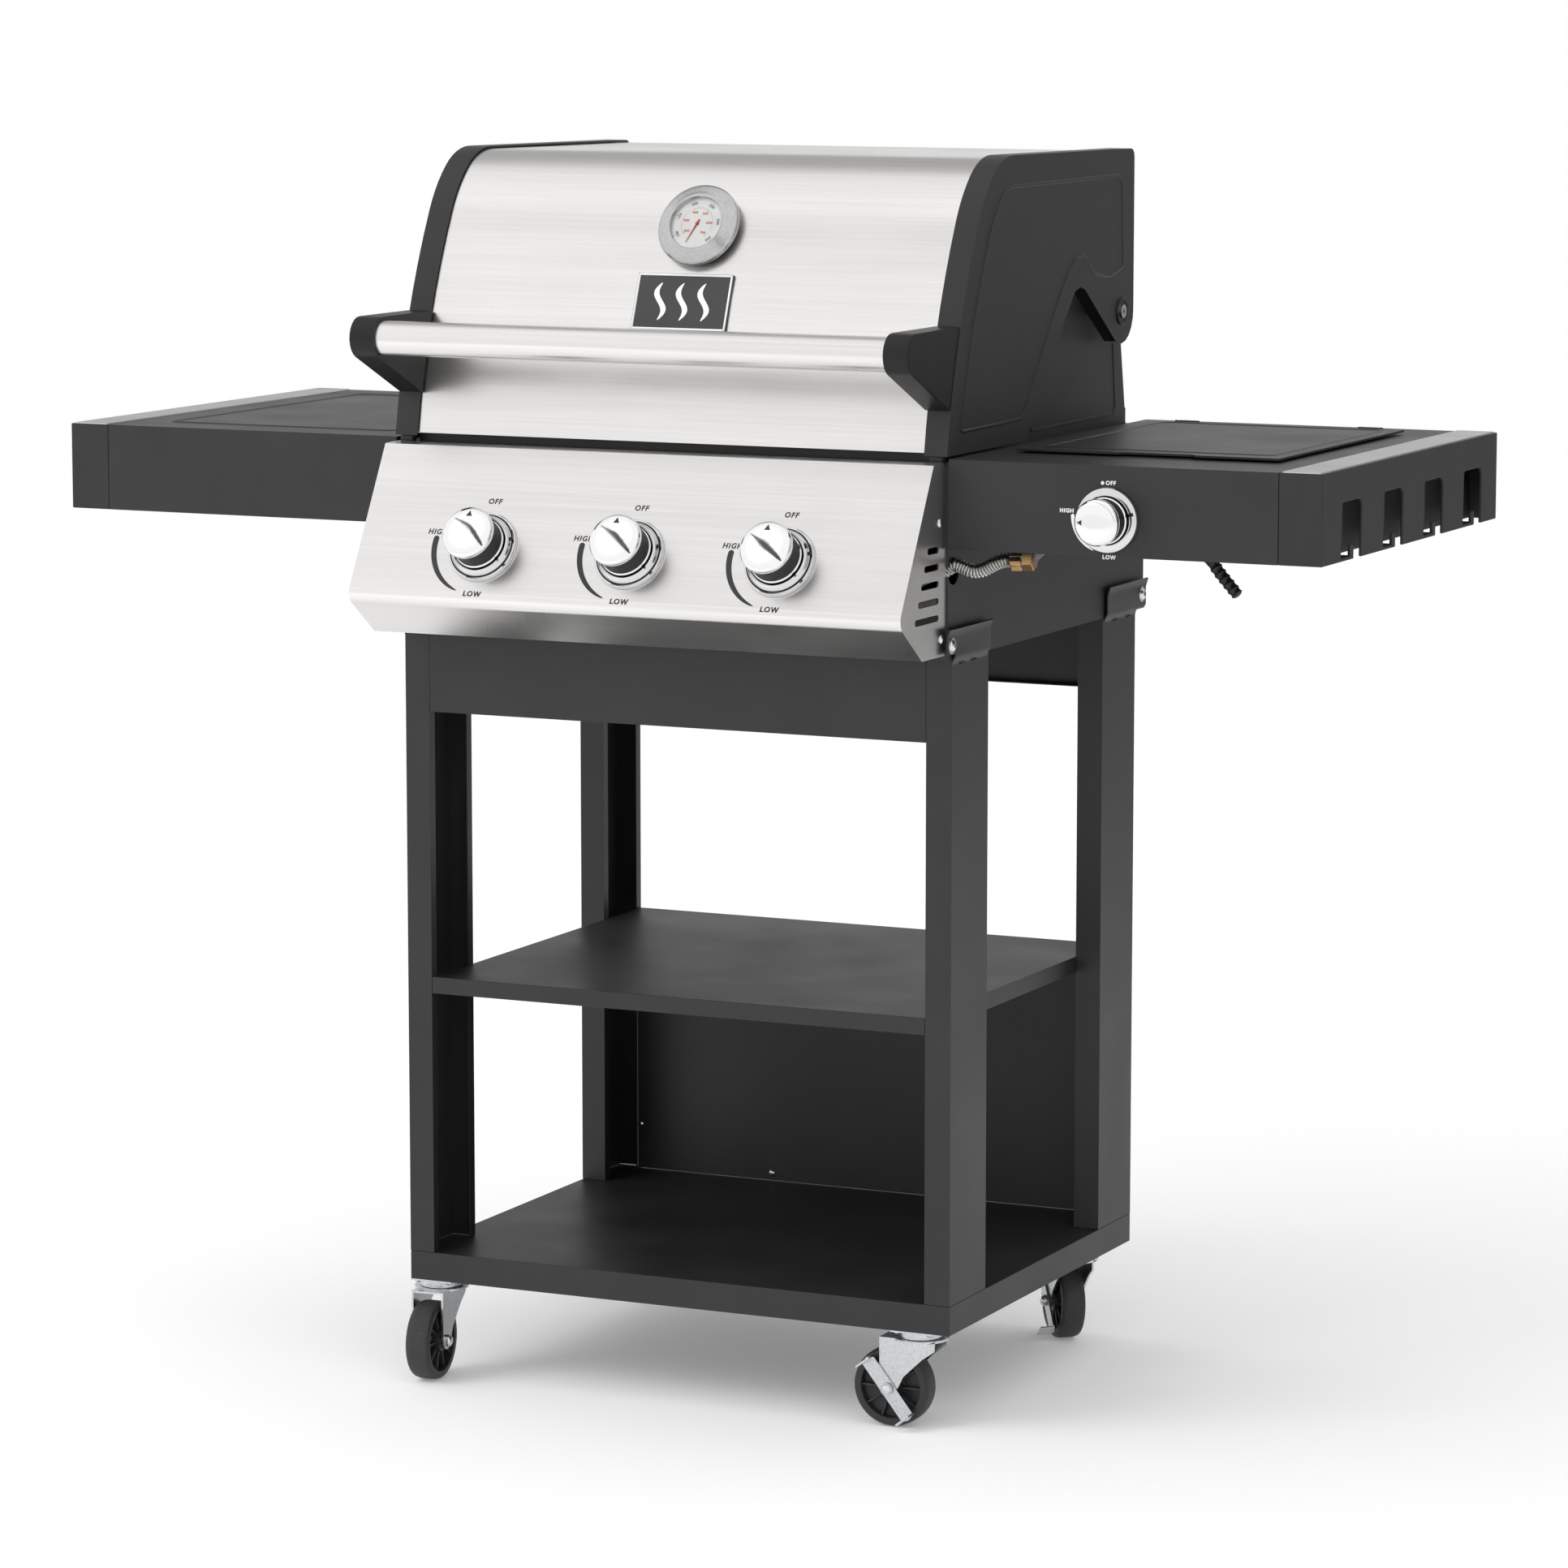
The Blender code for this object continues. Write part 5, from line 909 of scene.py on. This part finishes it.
lathe(shape, neck, 6, fitting @ Matrix.Rotation(0.3, 4, "Z"))
piece("pipe_fitting", mesh_of(shape, "pipe_fitting"), BRASS, "cart")
shape = bmesh.new()
TAIL_ROUTE = ((0.4848, 0.8385), (0.4858, 0.8250), (0.4885, 0.8110), (0.4945, 0.8010), (0.5030, 0.7910), (0.5158, 0.7770))
steps = evenly(smooth_route([at(x, -0.12, z) for x, z in TAIL_ROUTE], 6), 0.0006)
length = steps[-1][1]


def boot(distance):
    """The radius of the ribbed boot along its length."""
    t = distance / length
    if t < 0.36:
        return 0.0088
    if t < 0.46:
        return 0.0088 - 0.0034 * (t - 0.36) / 0.10
    if t > 0.97:
        return 0.0050 * math.sqrt(max(0.05, 1 - ((t - 0.97) / 0.03) ** 2))
    wave = math.sin(2 * math.pi * (distance / 0.0062))
    return 0.0052 + 0.0007 * max(-0.3, wave)


sweep(shape, steps, boot, 28)
# The two straight runs from the side valve to the boot
for a, b in (
    (at(0.4478, -0.1985, 0.8528), at(0.4850, -0.1985, 0.8470)),
    (at(0.4850, -0.2010, 0.8470), at(0.4850, -0.1200, 0.8340)),
):
    sweep(shape, evenly([a, b], (b - a).length / 4.001), lambda d: 0.0045, 16)
made = piece("hose_tail_boot", mesh_of(shape, "hose_tail_boot"), RUBBER, "cart")
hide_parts("gas_hose_tail")


# ---------------------------------------------------------------- casters

for joint in frame["joints"]:
    if not joint["name"].startswith("wheel_spin_"):
        continue
    place_name = joint["name"][len("wheel_spin_"):]
    seat = frame_at(Vector(joint["pos_m"]), Vector(joint["axis"]), (0, 0, 1))
    shape = bmesh.new()
    half, tread = 0.0120, 0.0375
    outer = [(0.0342, 0.0118, 0), (0.0356, 0.0112, 0), (0.0366, 0.0098, 1), (0.0373, 0.0072, 1), (tread, 0.0040, 1)]
    web = [(0.0300, half - 0.0004, 0), (0.0294, 0.0110, 0), (0.0288, 0.0045, 0), (0.0118, 0.0040, 0)]
    web += [(0.0108, 0.0050, 0), (0.0104, half, 0), (0.0044, half, 0)]
    profile = outer + [(r, -h, m) for r, h, m in reversed(outer)]
    profile += [(r, -h, m) for r, h, m in web] + list(reversed(web))
    lathe(shape, profile, 96, closed=True)
    spokes = 10
    for i in range(spokes):
        turn = Matrix.Rotation(2 * math.pi * i / spokes, 4, "Z")
        for face in (-1, 1):
            heights = sorted((face * 0.0038, face * 0.0096))
            block(shape, (0.0102, -0.0009, heights[0]), (0.0294, 0.0009, heights[1]), 0.0003, turn, 0)
    wheel = f"wheel_{place_name}"
    made = piece(wheel, mesh_of(shape, wheel), [WHEEL, TREAD], wheel, seat)
    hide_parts(f"caster_{wheel}")
    # Domed axle ends, on the outermost faces of the fork's cheeks
    shape = bmesh.new()
    fork = frame["nodes"][f"caster_fork_{place_name}"].data
    axis, centre = Vector(joint["axis"]).normalized(), Vector(joint["pos_m"])
    sides = [(v.co - centre).dot(axis) for v in fork.vertices if v.co.z < centre.z + 0.004]
    for face, reach in ((1, max(sides)), (-1, -min(sides))):
        flip = Matrix.Rotation(0 if face > 0 else math.pi, 4, "X")
        dome(shape, seat @ Matrix.Translation((0, 0, face * reach)) @ flip, 0.0048, 0.0024, False)
    piece(f"axle_ends_{place_name}", mesh_of(shape, f"axle_ends_{place_name}"), BOLT, f"fork_{place_name}")
    # Plate bolts
    low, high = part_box(f"caster_plate_{place_name}")
    shape = bmesh.new()
    for x in (low.x + 0.0055, high.x - 0.0055):
        for y in (low.y + 0.0055, high.y - 0.0055):
            dome(shape, frame_at((x, y, high.z - 0.0025), (0, 0, -1), (0, 1, 0)), 0.0038, 0.0024, False)
    piece(f"plate_bolts_{place_name}", mesh_of(shape, f"plate_bolts_{place_name}"), BOLT, "cart")


# ---------------------------------------------------------------- studio

shape = bmesh.new()
block(shape, (-400, -400, -0.02), (400, 400, -0.0004))
floor = bpy.data.objects.new("floor", mesh_of(shape, "floor"))
bpy.context.scene.collection.objects.link(floor)
floor_look, tree, shader = shader_of("floor_white")
shader.inputs["Base Color"].default_value = (0.92, 0.92, 0.92, 1)
shader.inputs["Emission Color"].default_value = (1, 1, 1, 1)
shader.inputs["Emission Strength"].default_value = 0.16
shader.inputs["Roughness"].default_value = 0.9
shader.inputs["Specular IOR Level"].default_value = 0.1
floor.data.materials.append(floor_look)

# A grey card that only reflections see, to the right and behind
card_look, tree, shader = shader_of("grey_card")
shader.inputs["Base Color"].default_value = (0.27, 0.27, 0.27, 1)
shader.inputs["Roughness"].default_value = 1.0
shape = bmesh.new()
block(shape, (-1.5, -1.2, -0.01), (1.5, 1.2, 0.01), 0, frame_at((2.0, 2.6, 0.9), (-0.55, -0.83, 0.0), (0, 0, 1)))
card = bpy.data.objects.new("grey_card", mesh_of(shape, "grey_card"))
card.data.materials.append(card_look)
bpy.context.scene.collection.objects.link(card)
card.visible_camera = card.visible_diffuse = card.visible_shadow = False

world = bpy.data.worlds.new("studio")
bpy.context.scene.world = world
world.use_nodes = True
tree = world.node_tree
background = tree.nodes["Background"]
where = tree.nodes.new("ShaderNodeTexCoord")
make, link = tree.nodes.new, tree.links.new


def maths(operation, *values):
    made = make("ShaderNodeMath")
    made.operation = operation
    for socket, value in zip(made.inputs, values):
        if isinstance(value, (int, float)):
            socket.default_value = value
        else:
            link(value, socket)
    return made.outputs[0]


def towards(direction):
    """How far the world direction points one way, from -1 to 1."""
    made = make("ShaderNodeVectorMath")
    made.operation = "DOT_PRODUCT"
    link(where.outputs["Generated"], made.inputs[0])
    made.inputs[1].default_value = Vector(direction).normalized()
    return made.outputs["Value"]


def between(value, low, high, first, last):
    made = make("ShaderNodeMapRange")
    made.interpolation_type = "SMOOTHSTEP"
    for name, number in (("From Min", low), ("From Max", high), ("To Min", first), ("To Max", last)):
        made.inputs[name].default_value = number
    link(value, made.inputs["Value"])
    return made.outputs["Result"]


# A white room, by direction: a dark gap in the lights over the front, a darker wall on the
# right, a darker patch over the rear, and a brighter one round the start of the gap
GAP_START, GAP_END = Vector((-0.42, -0.56, 0.71)), Vector((0.30, -0.88, 0.30))
off_gap = maths("ABSOLUTE", towards(GAP_START.cross(GAP_END)))
reach = between(towards(GAP_END), 0.35, 1.0, 0.004, 0.036)
gap = between(maths("SUBTRACT", off_gap, reach), -0.004, 0.012, 0.08, 1.0)
front = between(towards(GAP_END), 0.05, 0.35, 0.0, 1.0)
gap = maths("ADD", 1.0, maths("MULTIPLY", front, maths("SUBTRACT", gap, 1.0)))
right = between(towards((0.86, 0.50, 0.0)), 0.35, 0.95, 1.0, 0.42)
over = between(towards((-0.42, 0.65, 0.63)), 0.78, 0.98, 1.0, 0.42)
box = between(towards(GAP_START), 0.90, 0.985, 1.0, 1.13)
room = maths("MULTIPLY", maths("MULTIPLY", gap, right), maths("MULTIPLY", over, box))
background.inputs["Color"].default_value = (1, 1, 1, 1)
link(maths("MULTIPLY", room, 1.08), background.inputs["Strength"])


def area_light(name, place, target, size, power):
    lamp = bpy.data.lights.new(name, "AREA")
    lamp.shape = "RECTANGLE"
    lamp.size, lamp.size_y = size
    lamp.energy = power
    made = bpy.data.objects.new(name, lamp)
    bpy.context.scene.collection.objects.link(made)
    made.location = place
    made.rotation_euler = (Vector(target) - Vector(place)).to_track_quat("-Z", "Y").to_euler()
    made.visible_glossy = False


area_light("key", (-2.6, -3.2, 3.0), (0, 0, 0.7), (2.4, 2.0), 60)

camera = bpy.data.cameras.new("camera")
camera.lens = 136.38
camera.sensor_width = 36
camera.clip_end = 1000
eye = bpy.data.objects.new("camera", camera)
bpy.context.scene.collection.objects.link(eye)
eye.location = at(2.3926, -5.0906, 1.3723)
eye.rotation_euler = (math.radians(90 - 8.22), 0, math.radians(25.09))
bpy.context.scene.camera = eye
bpy.context.scene.view_settings.view_transform = "Standard"

bpy.context.view_layer.update()
